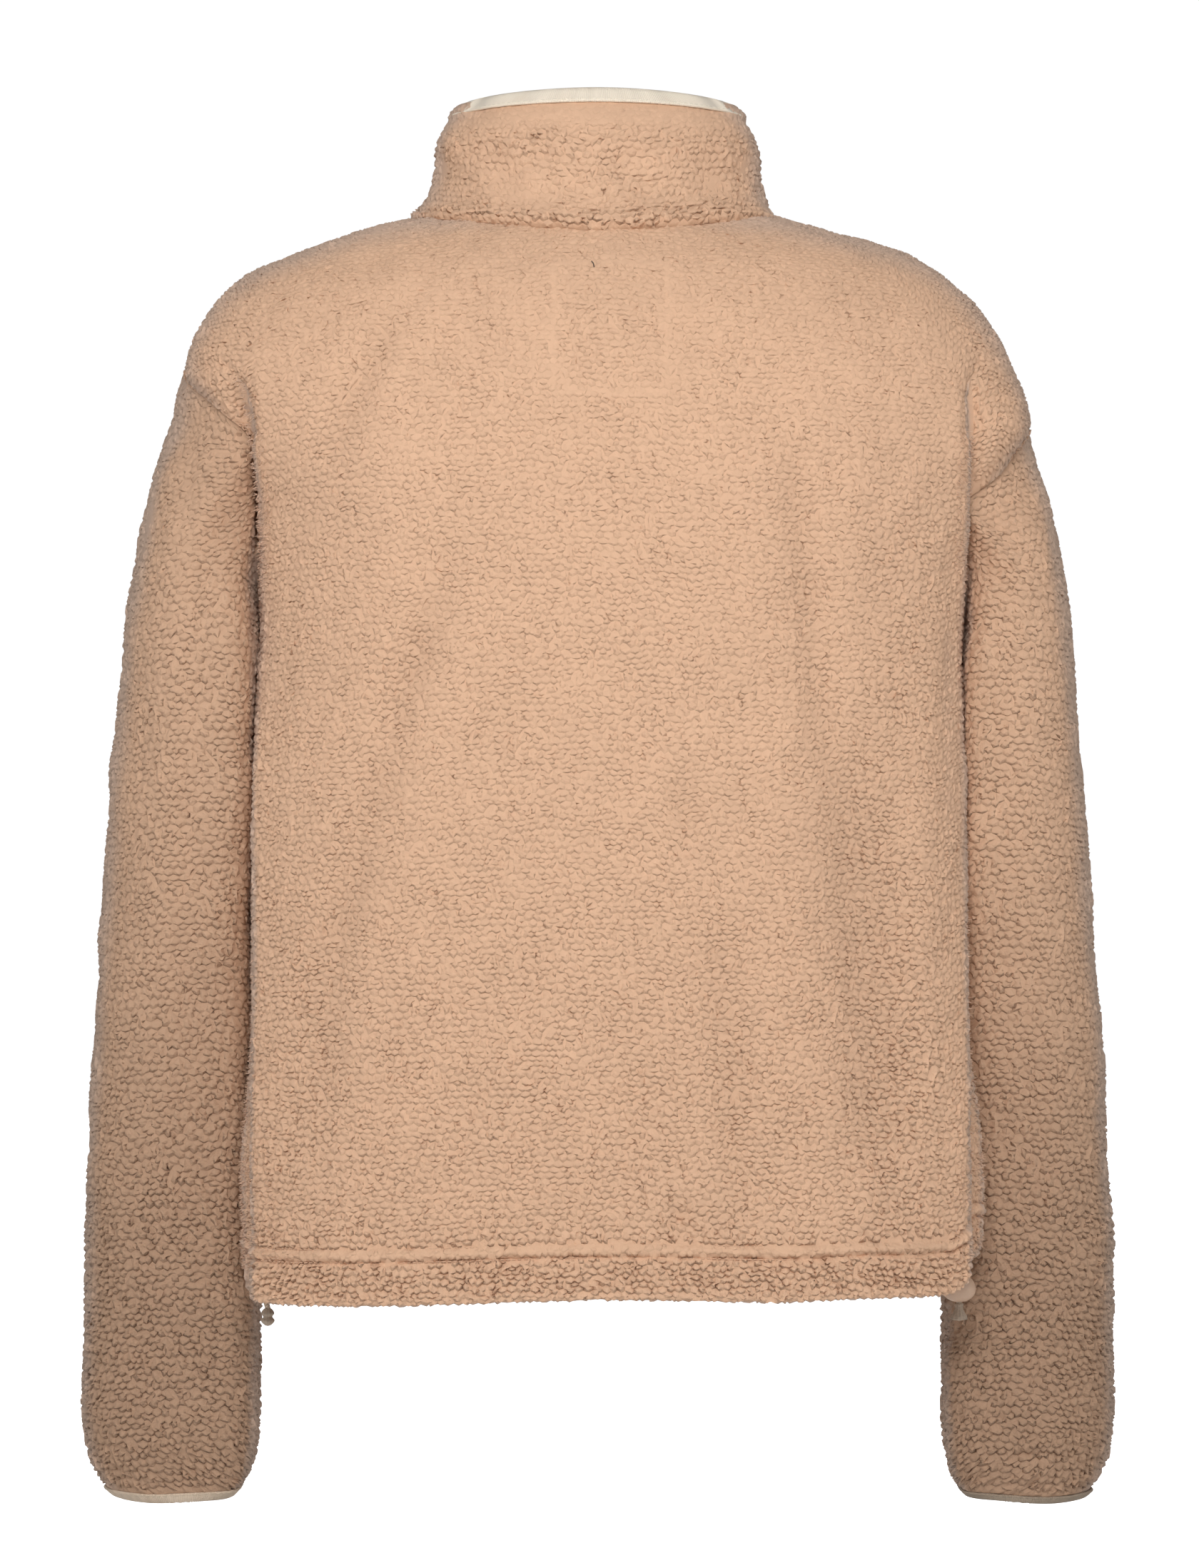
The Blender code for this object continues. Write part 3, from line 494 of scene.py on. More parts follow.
def new_mesh(name, points, faces, material, uv=None, layers=None):
    """A smooth mesh object from points in millimetres. uv has a row for each face corner, and layers
    holds (kind, domain, values) by attribute name."""
    mesh = bpy.data.meshes.new(name)
    faces = np.asarray(faces, dtype=np.int32)
    mesh.vertices.add(len(points))
    mesh.vertices.foreach_set("co", (np.asarray(points, float) * MM).ravel())
    mesh.loops.add(faces.size)
    mesh.loops.foreach_set("vertex_index", faces.ravel())
    mesh.polygons.add(len(faces))
    mesh.polygons.foreach_set("loop_start", np.arange(0, faces.size, faces.shape[1]))
    mesh.update(calc_edges=True)
    if uv is not None:
        layer = mesh.uv_layers.new(name="cloth")
        layer.data.foreach_set("uv", (np.asarray(uv, float) * MM).ravel())
    for key, (kind, domain, data) in (layers or {}).items():
        layer = mesh.attributes.new(key, kind, domain)
        field = "value" if kind == "FLOAT" else "vector"
        layer.data.foreach_set(field, np.asarray(data, np.float32).ravel())
    mesh.materials.append(material)
    mesh.shade_smooth()
    thing = bpy.data.objects.new(name, mesh)
    bpy.context.collection.objects.link(thing)
    return thing


def own_tuft(faces, spots, centre, wide, tall):
    """For each face corner, its place within the tuft it belongs to and how near the tuft's edge it
    lies; for each face, its tuft's own number. Each tuft is a fan of faces about its centre."""
    owner = centre[faces]
    fan = owner.sum(axis=1) == 1
    first = faces[np.arange(len(faces)), owner.argmax(axis=1)]
    local = (spots[faces][:, :, :2] - spots[first][:, None, :2]) / [wide / 2, tall / 2]
    rim = np.where(fan[:, None], np.where(owner, 0.0, 1.0), 0.5)
    corner = np.concatenate([local * fan[:, None, None], rim[..., None]], axis=2)
    return corner.reshape(-1, 3), np.where(fan, spots[first][:, 2], 0.5)


def worn_wall(name, cloth, runs, inside, pile, wall, material, weld=False):
    """A closed wall of cloth: a pebbled outside over a plain inside. runs are the rim's stretches of
    places, each (places, kind), anticlockwise as seen from outside."""
    rims, kinds, fine = [], [], []
    for places, kind in runs:
        line = (places, cloth.flat(places[:, 0], places[:, 1]))
        even = resample(line, pile["rim"])
        rims.append(even[:-1])
        kinds += [kind] * (len(even) - 1)
        if kind == "seam":
            fine.append(cloth.flat(*resample(line, 0.7).T))
    rim, kinds = np.concatenate(rims), np.array(kinds)
    fine = np.concatenate(fine)
    rim_flat = cloth.flat(rim[:, 0], rim[:, 1])
    low, high = rim_flat.min(axis=0), rim_flat.max(axis=0)
    wide, tall = pile["wide"], pile["tall"]
    centres, meets = tuft_lattice(low, high, wide, tall, pile["seed"], pile["loose"])
    spots = np.concatenate([centres, meets])
    centre = np.r_[np.ones(len(centres), bool), np.zeros(len(meets), bool)]
    places = np.stack(cloth.place(spots[:, 0], spots[:, 1]), axis=-1)
    keep = inside(*places.T)
    spots, centre, places = spots[keep], centre[keep], places[keep]
    keep = edge_distance(spots[:, :2], rim_flat) > 0.32 * tall
    spots, centre, places = spots[keep], centre[keep], places[keep]
    line, sunk = pile["lines"](cloth, runs)
    if len(line):
        keep = edge_distance(spots[:, :2], line) > 0.34 * tall
        spots, centre, places = spots[keep], centre[keep], places[keep]
        on = np.stack(cloth.place(*line.T), axis=-1)
        keep = inside(*on.T)
        line, sunk, on = line[keep], sunk[keep], on[keep]
        keep = edge_distance(line, rim_flat) > 0.8
        line, sunk, on = line[keep], sunk[keep], on[keep]
        spots = np.concatenate([spots, np.c_[line, np.full(len(line), 0.5)]])
        centre, places = np.r_[centre, np.zeros(len(line), bool)], np.concatenate([places, on])
    deep = np.r_[np.zeros(len(rim) + len(spots) - len(line)), sunk]
    near = edge_distance(spots[:, :2], fine)
    faces = triangulate(rim_flat, spots[:, :2])
    spots = np.concatenate([np.c_[rim_flat, np.full(len(rim), 0.5)], spots])
    centre = np.r_[np.zeros(len(rim), bool), centre]
    places = np.concatenate([rim, places])
    near = np.r_[np.where(kinds == "seam", 0.0, 99.0), near]
    flat = spots[:, :2]
    point = cloth.sample(cloth.points, *places.T)
    outward = unit(cloth.sample(cloth.outward, *places.T))
    depth, press = pile["depth"](point, flat, places)
    side = np.r_[kinds == "side", np.zeros(len(spots) - len(rim), bool)]
    far = 0.60 + 0.10 * wave(flat[:, 0], flat[:, 1], 5.5 * wide, pile["seed"] + 5)
    far = far + 0.26 * wave(flat[:, 0], flat[:, 1], 1.7 * wide, pile["seed"] + 6)
    crack = np.maximum(np.clip(far, 0.12, 1) * (1 - 0.9 * press), np.clip(deep, 0, 1)) * ~side
    fade = ramp(near, 0, pile["fade"])
    rise = np.where(centre, 0.26 * (0.6 + 0.8 * spots[:, 2]), -0.40 - 0.40 * crack)
    rise = np.where(side, 0.1, rise)
    lift = np.where(deep > 0, -deep, depth * fade * rise * (1 - 0.8 * press))
    dip = pile["dip"] * bell(near, 1.6)
    outer = point + outward * (lift - dip + pile["shape"](point, flat, places))[:, None]
    rough = pile["inside"]
    gu, gv = np.meshgrid(np.arange(low[0], high[0], rough), np.arange(low[1], high[1], rough))
    grid = np.stack([gu.ravel(), gv.ravel()], axis=-1)
    under = np.stack(cloth.place(*grid.T), axis=-1)
    keep = inside(*under.T)
    grid, under = grid[keep], under[keep]
    keep = edge_distance(grid, rim_flat) > 0.45 * rough
    grid, under = grid[keep], under[keep]
    inner_faces = triangulate(rim_flat, grid)
    under = np.concatenate([rim, under])
    own = unit(cloth.sample(cloth.outward, *under.T))
    lining = cloth.sample(cloth.points, *under.T) - own * wall(under[:, 1])[:, None]
    count, total = len(rim), len(outer)
    k = np.arange(count)
    after = (k + 1) % count
    strip = np.concatenate([
        np.stack([after, k, total + k], axis=-1),
        np.stack([after, total + k, total + after], axis=-1),
    ])  # fmt: skip
    corner, tone = own_tuft(faces, spots, centre, wide, tall)
    # Painted shade: the body's tufts are darkened in the large folds.
    tone = tone + 0.13 * np.minimum(crease_depth(point[faces].mean(axis=1)), 0) * (pile["shape"] is body_shape)
    plain = len(inner_faces) + len(strip)
    all_points = np.concatenate([outer, lining])
    all_faces = np.concatenate([faces, inner_faces[:, ::-1] + total, strip])
    lined = np.zeros(len(lining))
    layers = {
        "tuft": ("FLOAT_VECTOR", "CORNER", np.concatenate([corner, np.zeros((3 * plain, 3))])),
        "tone": ("FLOAT", "FACE", np.r_[tone, np.full(plain, 0.5)]),
        # crack sets how much painted shade each crack gets; near marks the seams, which get painted shade too.
        "crack": ("FLOAT", "POINT", np.r_[crack * np.maximum(fade, 0.2), lined]),
        "relief": ("FLOAT", "POINT", np.r_[np.maximum(depth * (1 - press), deep) / 1.5 * ~side, lined]),
        "near": ("FLOAT", "POINT", np.r_[np.exp(-near / 1.3), lined]),
        "lie": ("FLOAT_VECTOR", "POINT", np.concatenate([outward, -own])),
    }
    uv = np.concatenate([flat, rim_flat, grid])[all_faces.ravel()]
    if weld:
        all_points, all_faces, layers, uv = welded(all_points, all_faces, layers, uv)
    thing = new_mesh(name, all_points, all_faces, material, uv, layers)
    thing.data.set_sharp_from_angle(angle=math.radians(80))
    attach(thing, "root")
    return thing


def welded(points, faces, layers, uv):
    """Points that coincide become one, and faces that fall to a line go."""
    key = np.round(points / 0.01).astype(np.int64)
    _, first, same = np.unique(key, axis=0, return_index=True, return_inverse=True)
    faces = same.ravel()[faces]
    kept = (faces[:, 0] != faces[:, 1]) & (faces[:, 1] != faces[:, 2]) & (faces[:, 2] != faces[:, 0])
    pick = {"POINT": first, "FACE": kept, "CORNER": np.repeat(kept, 3)}
    layers = {key: (kind, domain, data[pick[domain]]) for key, (kind, domain, data) in layers.items()}
    return points[first], faces[kept], layers, uv[np.repeat(kept, 3)]


HEM_ROLL = 3.0


def rolled_body(angle, level, outside):
    """The body's outside, which rolls under at the hem: levels below HEM_ROLL turn about the fold."""
    held = np.maximum(level, HEM_ROLL)
    point, outward = outside(angle, held)
    turn = np.clip((HEM_ROLL - level) / HEM_ROLL, 0, math.pi)[..., None]
    above = outside(angle, held + 1.0)[0]
    down = unit(point - above)
    point = point - outward * HEM_ROLL * (1 - np.cos(turn)) + down * HEM_ROLL * np.sin(turn)
    return point, outward * np.cos(turn) + down * np.sin(turn)


def body_cloth(first, last, middle):
    """The grid of one panel's ring angles. Above the neckline it runs on straight."""
    angles = np.radians(np.linspace(first, last, 480))
    low = HEM_ROLL - math.pi * HEM_ROLL
    levels = np.r_[np.linspace(low, HEM_ROLL, 13), np.linspace(HEM_ROLL, NECK_LEVEL, 380)[1:]]
    angle, level = angles[None, :], levels[:, None]

    def outside(angle, level):
        return body(angle, level), normals(body, angle, level)

    points, outward = rolled_body(angle, level, outside)
    run_on = np.arange(4, 60, 4.0)
    slope = unit(points[-1] - points[-4])
    points = np.concatenate([points, points[-1] + slope * run_on[:, None, None]])
    outward = np.concatenate([outward, np.repeat(outward[-1:], len(run_on), axis=0)])
    return Cloth(angles, np.r_[levels, NECK_LEVEL + run_on], points, outward, math.radians(middle), 0.0)


def run_of(a, b, count):
    """A stretch of rim between parameter values, as places."""
    a = np.linspace(*a, count) if isinstance(a, tuple) else a
    b = np.linspace(*b, count) if isinstance(b, tuple) else b
    return np.stack(np.broadcast_arrays(a, b), axis=-1)


def panel_runs(facing):
    """The rim of a body panel, anticlockwise from its lower start."""
    low = HEM_ROLL - math.pi * HEM_ROLL
    turn = 2 * math.pi

    def start(level):
        return edge_angle(1, 1, level) if facing > 0 else edge_angle(-1, -1, level) - turn

    def end(level):
        return edge_angle(-1, 1, level) if facing > 0 else edge_angle(1, -1, level)

    gap = 0.0005
    half, middle = (SHOULDER_LEVEL - UNDERARM_LEVEL) / 2, (SHOULDER_LEVEL + UNDERARM_LEVEL) / 2
    side = np.linspace(low, UNDERARM_LEVEL, 200)
    arm = middle - half * np.cos(np.linspace(0, math.pi, 120))
    top = np.linspace(SHOULDER_LEVEL, NECK_LEVEL, 120)
    hem = run_of((start(np.array(0.0)) + gap, end(np.array(0.0)) - gap), low, 500)
    neck = run_of((end(np.array(NECK_LEVEL)) - gap, start(np.array(NECK_LEVEL)) + gap), NECK_LEVEL, 300)
    right = [run_of(end(np.maximum(b, 0)) - gap, b, 0) for b in (side, arm, top)]
    left = [run_of(start(np.maximum(b, 0)) + gap, b, 0)[::-1] for b in (top, arm, side)]
    runs = [(hem, "fold"), (right[0], "side"), (right[1], "seam"), (right[2], "side")]
    runs += [(neck, "seam"), (left[0], "side"), (left[1], "seam"), (left[2], "side")]

    def inside(a, b):
        level = np.clip(b, 0, NECK_LEVEL)
        return (a > start(level)) & (a < end(level)) & (b > low) & (b < NECK_LEVEL)

    return runs, inside


def panel_wall(level):
    """The hem is two layers thick."""
    return HEM_WALL + (WALL - HEM_WALL) * ramp(level, HEM_DEPTH, HEM_DEPTH + HEM_STEP)


def hem_wall(level):
    """From the fold, whose rim already lies on the inside, up the panel."""
    low = HEM_ROLL - math.pi * HEM_ROLL
    return panel_wall(level) * (level > low + 0.01)


HEM_LINES = (22.6, 29.4)
ARMHOLE_SEAM = 4.4
TACK_BOX = (-34.5, 23.3, -103.5, -35.0)


def tack_line(point):
    """How near a place lies to the outline that is tacked down between the shoulders."""
    x0, x1, z0, z1 = TACK_BOX
    off_x = np.abs(point[:, 0] - (x0 + x1) / 2) - (x1 - x0) / 2
    off_z = np.abs(point[:, 2] - (z0 + z1) / 2) - (z1 - z0) / 2
    return bell(np.maximum(off_x, off_z), 1.1) * (point[:, 1] > 0)


def body_pile(point, flat, places):
    """The pile's depth and how far it is pressed, over a body panel."""
    x, z = point[:, 0], point[:, 2]
    hem = ramp(-z, 520, 560) * (1 - 0.7 * ramp(np.abs(x), 182, 206))
    depth = 1.40 - 0.30 * ramp(z, -480, -300) - 0.06 * ramp(z, -260, -90) + 1.1 * hem
    depth = depth * (1 - 0.04 * np.clip(crease_depth(point), -5, 0))
    depth = depth + 0.3 * ramp(np.abs(x), 110, 160) * ramp(-z, 130, 200)
    depth = depth * (0.45 + 0.55 * ramp(flat[:, 1], 0, 7))
    beyond = np.maximum(np.abs(x) - np.where(x > 0, FOLD["left_x"][1], FOLD["right_x"][1]), 0)
    depth = depth + 0.4 * ramp(beyond, 0, 6) * ramp(z, -170, -110)
    depth = depth * (1 + 0.08 * wave(flat[:, 0], flat[:, 1], 55, 31))
    return depth, np.maximum(0.9 * tack_line(point), 0.6 * bell(flat[:, 1] - np.mean(HEM_LINES), 2.6))


def inset_line(cloth, run, off):
    """A line so far inside a stretch of the rim, on the flat pattern."""
    flat = cloth.flat(*resample((run, cloth.flat(run[:, 0], run[:, 1])), 1.5).T)
    along = unit(np.gradient(flat, axis=0))
    return flat + off * np.stack([-along[:, 1], along[:, 0]], axis=-1)


def body_lines(cloth, runs):
    """The hem's twin rows and the flat seam round each armhole, with how deep each sinks."""
    lines, sunk = [], []
    low, high = cloth.across[0].min(), cloth.across[0].max()
    for height, deep in zip(HEM_LINES, (2.3, 1.5)):
        across = np.arange(low, high, 1.5)
        pull = 0.28 * wave(across, 0 * across, 9, 17) + 0.2 * np.cos(2 * math.pi * across / 6)
        lines.append(np.stack([across, height + pull], axis=-1))
        sunk.append(deep * (0.85 + 0.2 * wave(across, 0 * across, 14, 18)))
    for run in (runs[2][0], runs[6][0]):
        lines.append(inset_line(cloth, run, ARMHOLE_SEAM))
        sunk.append(np.full(len(lines[-1]), 0.75))
    return np.concatenate(lines), np.concatenate(sunk)


def no_lines(cloth, runs):
    return np.zeros((0, 2)), np.zeros(0)


def shoulder_point(point):
    """Where the body meets the sleeve's top both are drawn in a little, and the left one swells below that."""
    x, z = point[:, 0], point[:, 2]
    return 1.6 * bell(z + 82, 22) * ramp(np.abs(x), 205, 228) - 4.4 * bell(z + 96, 13) * ramp(x, 205, 220)


# Where the fold behind each armpit runs out over the shoulder
ARMPIT_ARCS = {
    1: ((212, -84), (203, -84.5), (194, -87), (187, -93), (183, -104), (181, -122)),
    -1: ((-199, -83), (-195, -90), (-191.5, -100), (-190.5, -122)),
}


def armpit_arc(point):
    """The fold's groove as it turns out over the shoulder."""
    dip = np.zeros(len(point))
    for side, arc in ARMPIT_ARCS.items():
        near = np.flatnonzero((side * point[:, 0] > 165) & (point[:, 1] > 10) & (np.abs(point[:, 2] + 100) < 45))
        if len(near):
            arc = np.array(arc)
            steps = np.linspace(0, len(arc) - 1, 60)
            line = np.stack([np.interp(steps, np.arange(len(arc)), c) for c in arc.T], axis=-1)
            off = point[near][:, [0, 2]][:, None] - line[None]
            dip[near] = 2.6 * bell(np.linalg.norm(off, axis=-1).min(axis=1), 3.4)
    return dip


def body_shape(point, flat, places):
    """Stitch furrows, and the small unevenness of worn cloth."""
    dip = -0.45 * tack_line(point) + 1.3 * bell(flat[:, 1] - np.mean(HEM_LINES), 2.3) - armpit_arc(point)
    dip = dip - 1.2 * bell(flat[:, 1] - HEM_LINES[0], 1.9) - 0.9 * bell(flat[:, 1] - HEM_LINES[1], 1.9)
    small = 0.35 * wave(flat[:, 0], flat[:, 1], 34, 41) + 0.7 * wave(flat[:, 0], 0.5 * flat[:, 1], 80, 43)
    return dip + small * ramp(flat[:, 1], 6, 20) - shoulder_point(point)


def sleeve_cloth(side):
    """The grid of one sleeve, upwards from the cuff, opened out along its underarm."""
    half_count = 64
    count = 2 * half_count
    turn = np.linspace(0, math.pi, half_count + 1)
    middle, half = (UNDERARM_LEVEL + SHOULDER_LEVEL) / 2, (SHOULDER_LEVEL - UNDERARM_LEVEL) / 2
    levels = middle + half * np.cos(turn)
    level = np.r_[levels, levels[-2:0:-1]]
    facing = np.r_[np.ones(half_count + 1), -np.ones(half_count - 1)]
    angle = np.where(facing > 0, edge_angle(side, 1, level), edge_angle(side, -1, level))
    loop = body(angle, level)
    tangent = unit(np.roll(loop, -1, axis=0) - np.roll(loop, 1, axis=0))
    outward = normals(body, angle, level)
    away = np.cross(tangent, outward)
    away = unit(away * np.sign(np.sum(away * (loop.mean(axis=0) - loop), axis=1))[:, None])
    rows = table(SLEEVE_COLUMNS, SLEEVES[side])
    k = 2 * math.pi * np.arange(count) / count
    c, s = np.cos(k), np.sin(k)
    rings = []
    for i in range(len(rows["outer_z"])):
        row = {name: rows[name][i] for name in SLEEVE_COLUMNS}
        square = row["square"] + SLEEVE_FULL * ((c < 0) & (s > 0))
        round_x = np.sign(c) * np.abs(c) ** (2 / square)
        round_y = np.sign(s) * np.abs(s) ** (2 / square)
        across = (row["inner_x"] + row["outer_x"]) / 2 + (row["outer_x"] - row["inner_x"]) / 2 * round_x
        deep = (row["front_y"] + row["back_y"]) / 2 + (row["back_y"] - row["front_y"]) / 2 * round_y
        up = (row["inner_z"] + row["outer_z"]) / 2 + (row["outer_z"] - row["inner_z"]) / 2 * c
        rings.append(np.stack([side * across, deep, up], axis=-1))
    leave = unit(rings[0] - loop)
    along = np.sum(leave * away, axis=1)[:, None]
    start = loop + away * SEAM_GAP + outward * np.maximum(-along, 0) * UNDERARM_GAP
    flow = np.maximum(along, 0)
    first = unit(leave * (1 - flow) + away * flow) * np.linalg.norm(rings[0] - start, axis=1)[:, None]
    at = np.r_[np.linspace(0, 1, 40)[:-1], np.linspace(1, SLEEVE_RINGS, 190)]
    grid = follow(np.array([start] + rings), at, first)
    own = tube_normals(grid, side)
    grid = grid + own * sleeve_folds(side, grid)[..., None]
    lower = CUFF_DROP[side] * (0.25 + 0.75 * ramp(np.abs(grid[..., 0]), 200, 245))
    grid[..., 2] -= lower * ramp(at, SLEEVE_RINGS - 1.8, SLEEVE_RINGS)[:, None]
    own = tube_normals(grid, side)
    valley = ramp(np.sum(leave * outward, axis=1), *ARMHOLE_VALLEY)[:, None]
    own[0] = unit(own[0] * valley + outward * (1 - valley))
    order = side * np.arange(-half_count, half_count + 1) % count
    a = np.linspace(-0.5, 0.5, count + 1)
    points, own = grid[::-1][:, order], own[::-1][:, order]
    return Cloth(a, SLEEVE_RINGS - at[::-1], points, own, 0.0, 0.0)


def follow(rings, at, first):
    """A smooth curve through matching points of rings, which sets off along first."""
    last = len(rings) - 1
    i = np.minimum(np.floor(at).astype(int), last - 1)
    t = (at - i)[:, None, None]
    start, end = rings[i], rings[i + 1]
    leaving = np.where(i[:, None, None] > 0, (end - rings[np.maximum(i - 1, 0)]) / 2, first[None])
    beyond = rings[np.minimum(i + 2, last)]
    arriving = np.where(i[:, None, None] + 2 <= last, (beyond - start) / 2, end - start)
    held = start * (1 + 2 * t) * (1 - t) ** 2 + end * t**2 * (3 - 2 * t)
    return held + t * (1 - t) * (leaving * (1 - t) - arriving * t)


def tube_normals(points, side):
    """Outward normals of a grid that closes round its columns."""
    around = np.roll(points, -1, axis=1) - np.roll(points, 1, axis=1)
    return unit(np.cross(around, np.gradient(points, axis=0))) * -side


def sleeve_folds(side, points):
    """The sleeve's folds, as a depth along its normal."""
    rows, count = points.shape[:2]
    depth = np.zeros((rows, count))
    k = 360.0 * np.arange(count)[None, :] / count
    for row in SLEEVE_FOLDS:
        fold = dict(zip(SLEEVE_FOLD_COLUMNS, row))
        if fold["side"] != side:
            continue
        turn = (k - fold["angle"] + 180) % 360 - 180
        high = (points[..., 2] - fold["z"] - SLEEVE_FOLD_TILT * turn) / fold["height"]
        depth += fold["depth"] * np.exp(-(high**2) - (turn / fold["spread"]) ** 2)
    return depth


def tube_runs(cloth, low, high):
    """The rim of a tube opened out: along its lower edge, up, back and down."""
    a0, a1 = cloth.a[0], cloth.a[-1]
    bottom = run_of((a0, a1), low, 300)
    side = np.linspace(low, high, 240)
    top = run_of((a1, a0), high, 300)
    runs = [(bottom, "seam"), (run_of(a1, side, 0), "join"), (top, "seam"), (run_of(a0, side[::-1], 0), "join")]

    def inside(a, b):
        return (a > a0) & (a < a1) & (b > low) & (b < high)

    return runs, inside


CUFF_TURN = 0.32


def sleeve_groove(point):
    """A soft furrow down the left sleeve from its seam."""
    x, y, z = point.T
    return bell(x - 216 + 0.03 * (z + 130), 6) * ramp(-z, 98, 120) * (1 - ramp(-z, 165, 205)) * (y > -20)


def sleeve_pile(point, flat, places):
    """Deeper towards the cuff."""
    z = point[:, 2]
    depth = 2.2 - 0.70 * ramp(z, -590, -420) - 0.15 * ramp(z, -360, -200)
    depth = depth * (1 + 0.08 * wave(flat[:, 0], flat[:, 1], 55, 51)) * (1 - 0.35 * sleeve_groove(point))
    under = 1 - ramp(places[:, 1], CUFF_TURN, CUFF_TURN + 0.25)
    return depth * (1 - under), under


def sleeve_shape(point, flat, places):
    """Soft unevenness, and a step down below the binding."""
    small = 0.5 * wave(flat[:, 0], flat[:, 1], 34, 61) + 0.7 * wave(flat[:, 0], flat[:, 1], 85, 62)
    bound = 1 - ramp(places[:, 1], CUFF_TURN - 0.12, CUFF_TURN + 0.1)
    x, z = point[:, 0], point[:, 2]
    outer = ramp(np.abs(x), 215, 245)
    slim = np.where(x > 0, 2.0, 1.0) * bell(z + 172, 45) - np.where(x > 0, 3.0, 0.6) * bell(z + 107, 16)
    slim = slim * (1 - ramp(places[:, 1], 9.3, 9.9))
    pucker = (bell(z + 661, 2.8) - 0.7 * bell(z + 671, 5.0)) * bell(x + 232, 13) * (point[:, 1] > -35)
    shape = small * ramp(10 - places[:, 1], 0, 0.3) - 0.3 - slim * outer - 3.2 * pucker - 1.8 * sleeve_groove(point)
    return (shape - shoulder_point(point)) * (1 - bound) - 1.3 * bound


def collar_cloth():
    """The collar's grid, opened out at the middle of the front."""
    k = np.linspace(-math.pi / 2, 1.5 * math.pi, 361)

    def on_body(level, proud):
        level = np.full(len(k), level)
        return body(k, level) + normals(body, k, level) * proud

    neck = on_body(NECK_LEVEL, SEAM_GAP)
    outward = unit((neck - neck[:-1].mean(axis=0)) * [1, 1, 0])
    rise = table(COLLAR_COLUMNS, COLLAR_RINGS)
    s = np.sin(k)
    turn = np.degrees(np.angle(np.exp(1j * (k - math.radians(COLLAR_DENT_AT)))))
    dent = COLLAR_DENT * bell(turn, COLLAR_DENT_ANGLE)
    rings = [on_body(NECK_LEVEL - COLLAR_FOOT, SEAM_GAP)]
    for i in range(len(rise["out"])):
        middle = np.where(s >= 0, rise["back_up"][i], rise["front_up"][i])
        up = rise["side_up"][i] + (middle - rise["side_up"][i]) * np.abs(s) ** RING_LIFT
        out = rise["out"][i] - dent * math.sin(math.pi * (i + 1) / (len(rise["out"]) + 1))
        rings.append(neck + outward * out[:, None] + np.stack([0 * k, 0 * k, up], axis=-1))
    rings = np.array(rings)
    at = np.linspace(0, len(rings) - 1, 90)
    grid = follow(rings, at, rings[1] - rings[0])
    own = tube_normals(grid[:, :-1], -1)
    own = np.concatenate([own, own[:, :1]], axis=1)
    return Cloth(k, at, grid, own, math.pi / 2, 0.0), own


def beside(places, middle, width):
    """1 at an angle round the collar, falling away over a width, both in degrees."""
    turn = np.degrees(np.angle(np.exp(1j * (places[:, 0] - math.radians(middle)))))
    return bell(turn, width)


def collar_pile(point, flat, places):
    """Full in the middle, brushed flat in a band below the binding."""
    ring = places[:, 1]
    smooth = ramp(ring, 4.1, 4.9) * (1 - 0.6 * np.maximum(beside(places, 8, 32), beside(places, 172, 32)))
    soft = 0.55 * beside(places, 59, 13) * bell(ring - 1.9, 0.8)
    strong = 0.35 * beside(places, 66, 14) * bell(ring - 3.6, 0.8)
    foot = 0.8 * bell(ring - 0.5, 0.6)
    depth = 1.4 * (1 - 0.5 * smooth) * (1 - soft) * (1 + strong + foot)
    return depth, np.clip(0.45 * smooth + 0.35 * soft, 0, 1)


COLLAR_CREASES = (
    # angle, ring, half-width in degrees, half-height in rings, lean, depth
    (11, 3.0, 5, 1.0, -3.0, -3.0),
    (163, 3.2, 9, 1.1, 4.0, -2.4),
    (140, 2.4, 10, 1.6, 9.0, -1.6),
    (52, 2.2, 9, 1.5, -8.0, -1.5),
    (75, 3.0, 12, 1.1, 10.0, 1.0),
    (118, 4.0, 14, 0.8, -12.0, 1.0),
    (-30, 2.6, 12, 1.5, 6.0, -2.2),
    (205, 2.8, 12, 1.4, -7.0, -2.2),
    (262, 2.2, 10, 1.4, 6.0, -1.4),
)


def collar_shape(point, flat, places):
    """A swelling over the seam, creases, the step below the binding and the roll at its sides."""
    ring = places[:, 1]
    back = ramp(np.sin(places[:, 0]), -0.1, 0.6)
    shape = (0.7 + 1.9 * back) * bell(ring - 0.5, 0.42) * ramp(ring, 0.0, 0.2) - 1.2
    shape = shape - 3.6 * beside(places, 180, 26) * bell(ring - 0.9, 1.0)
    for angle, height, wide, tall, lean, depth in COLLAR_CREASES:
        shape = shape + depth * crease_at(places, angle, height, wide, tall, lean)
    shape = shape + 0.7 * wave(flat[:, 0], flat[:, 1], 24, 71) * bell(ring - 2.6, 2.2)
    bound = ramp(ring, TAPE_LOW - 0.16, TAPE_LOW + 0.08)
    roll = np.maximum(beside(places, 6, 30), beside(places, 174, 30))
    roll = ramp(roll, 0.45, 1.0)
    return shape * (1 - bound) + bound * (-1.3 + 3.1 * roll)


def crease_at(places, angle, height, wide, tall, lean):
    turn = np.degrees(np.angle(np.exp(1j * (places[:, 0] - math.radians(angle)))))
    rise = places[:, 1] - height
    return np.exp(-(((turn - lean * rise) / wide) ** 2) - (rise / tall) ** 2)


TAPE_LOW = 5.45


# Bindings


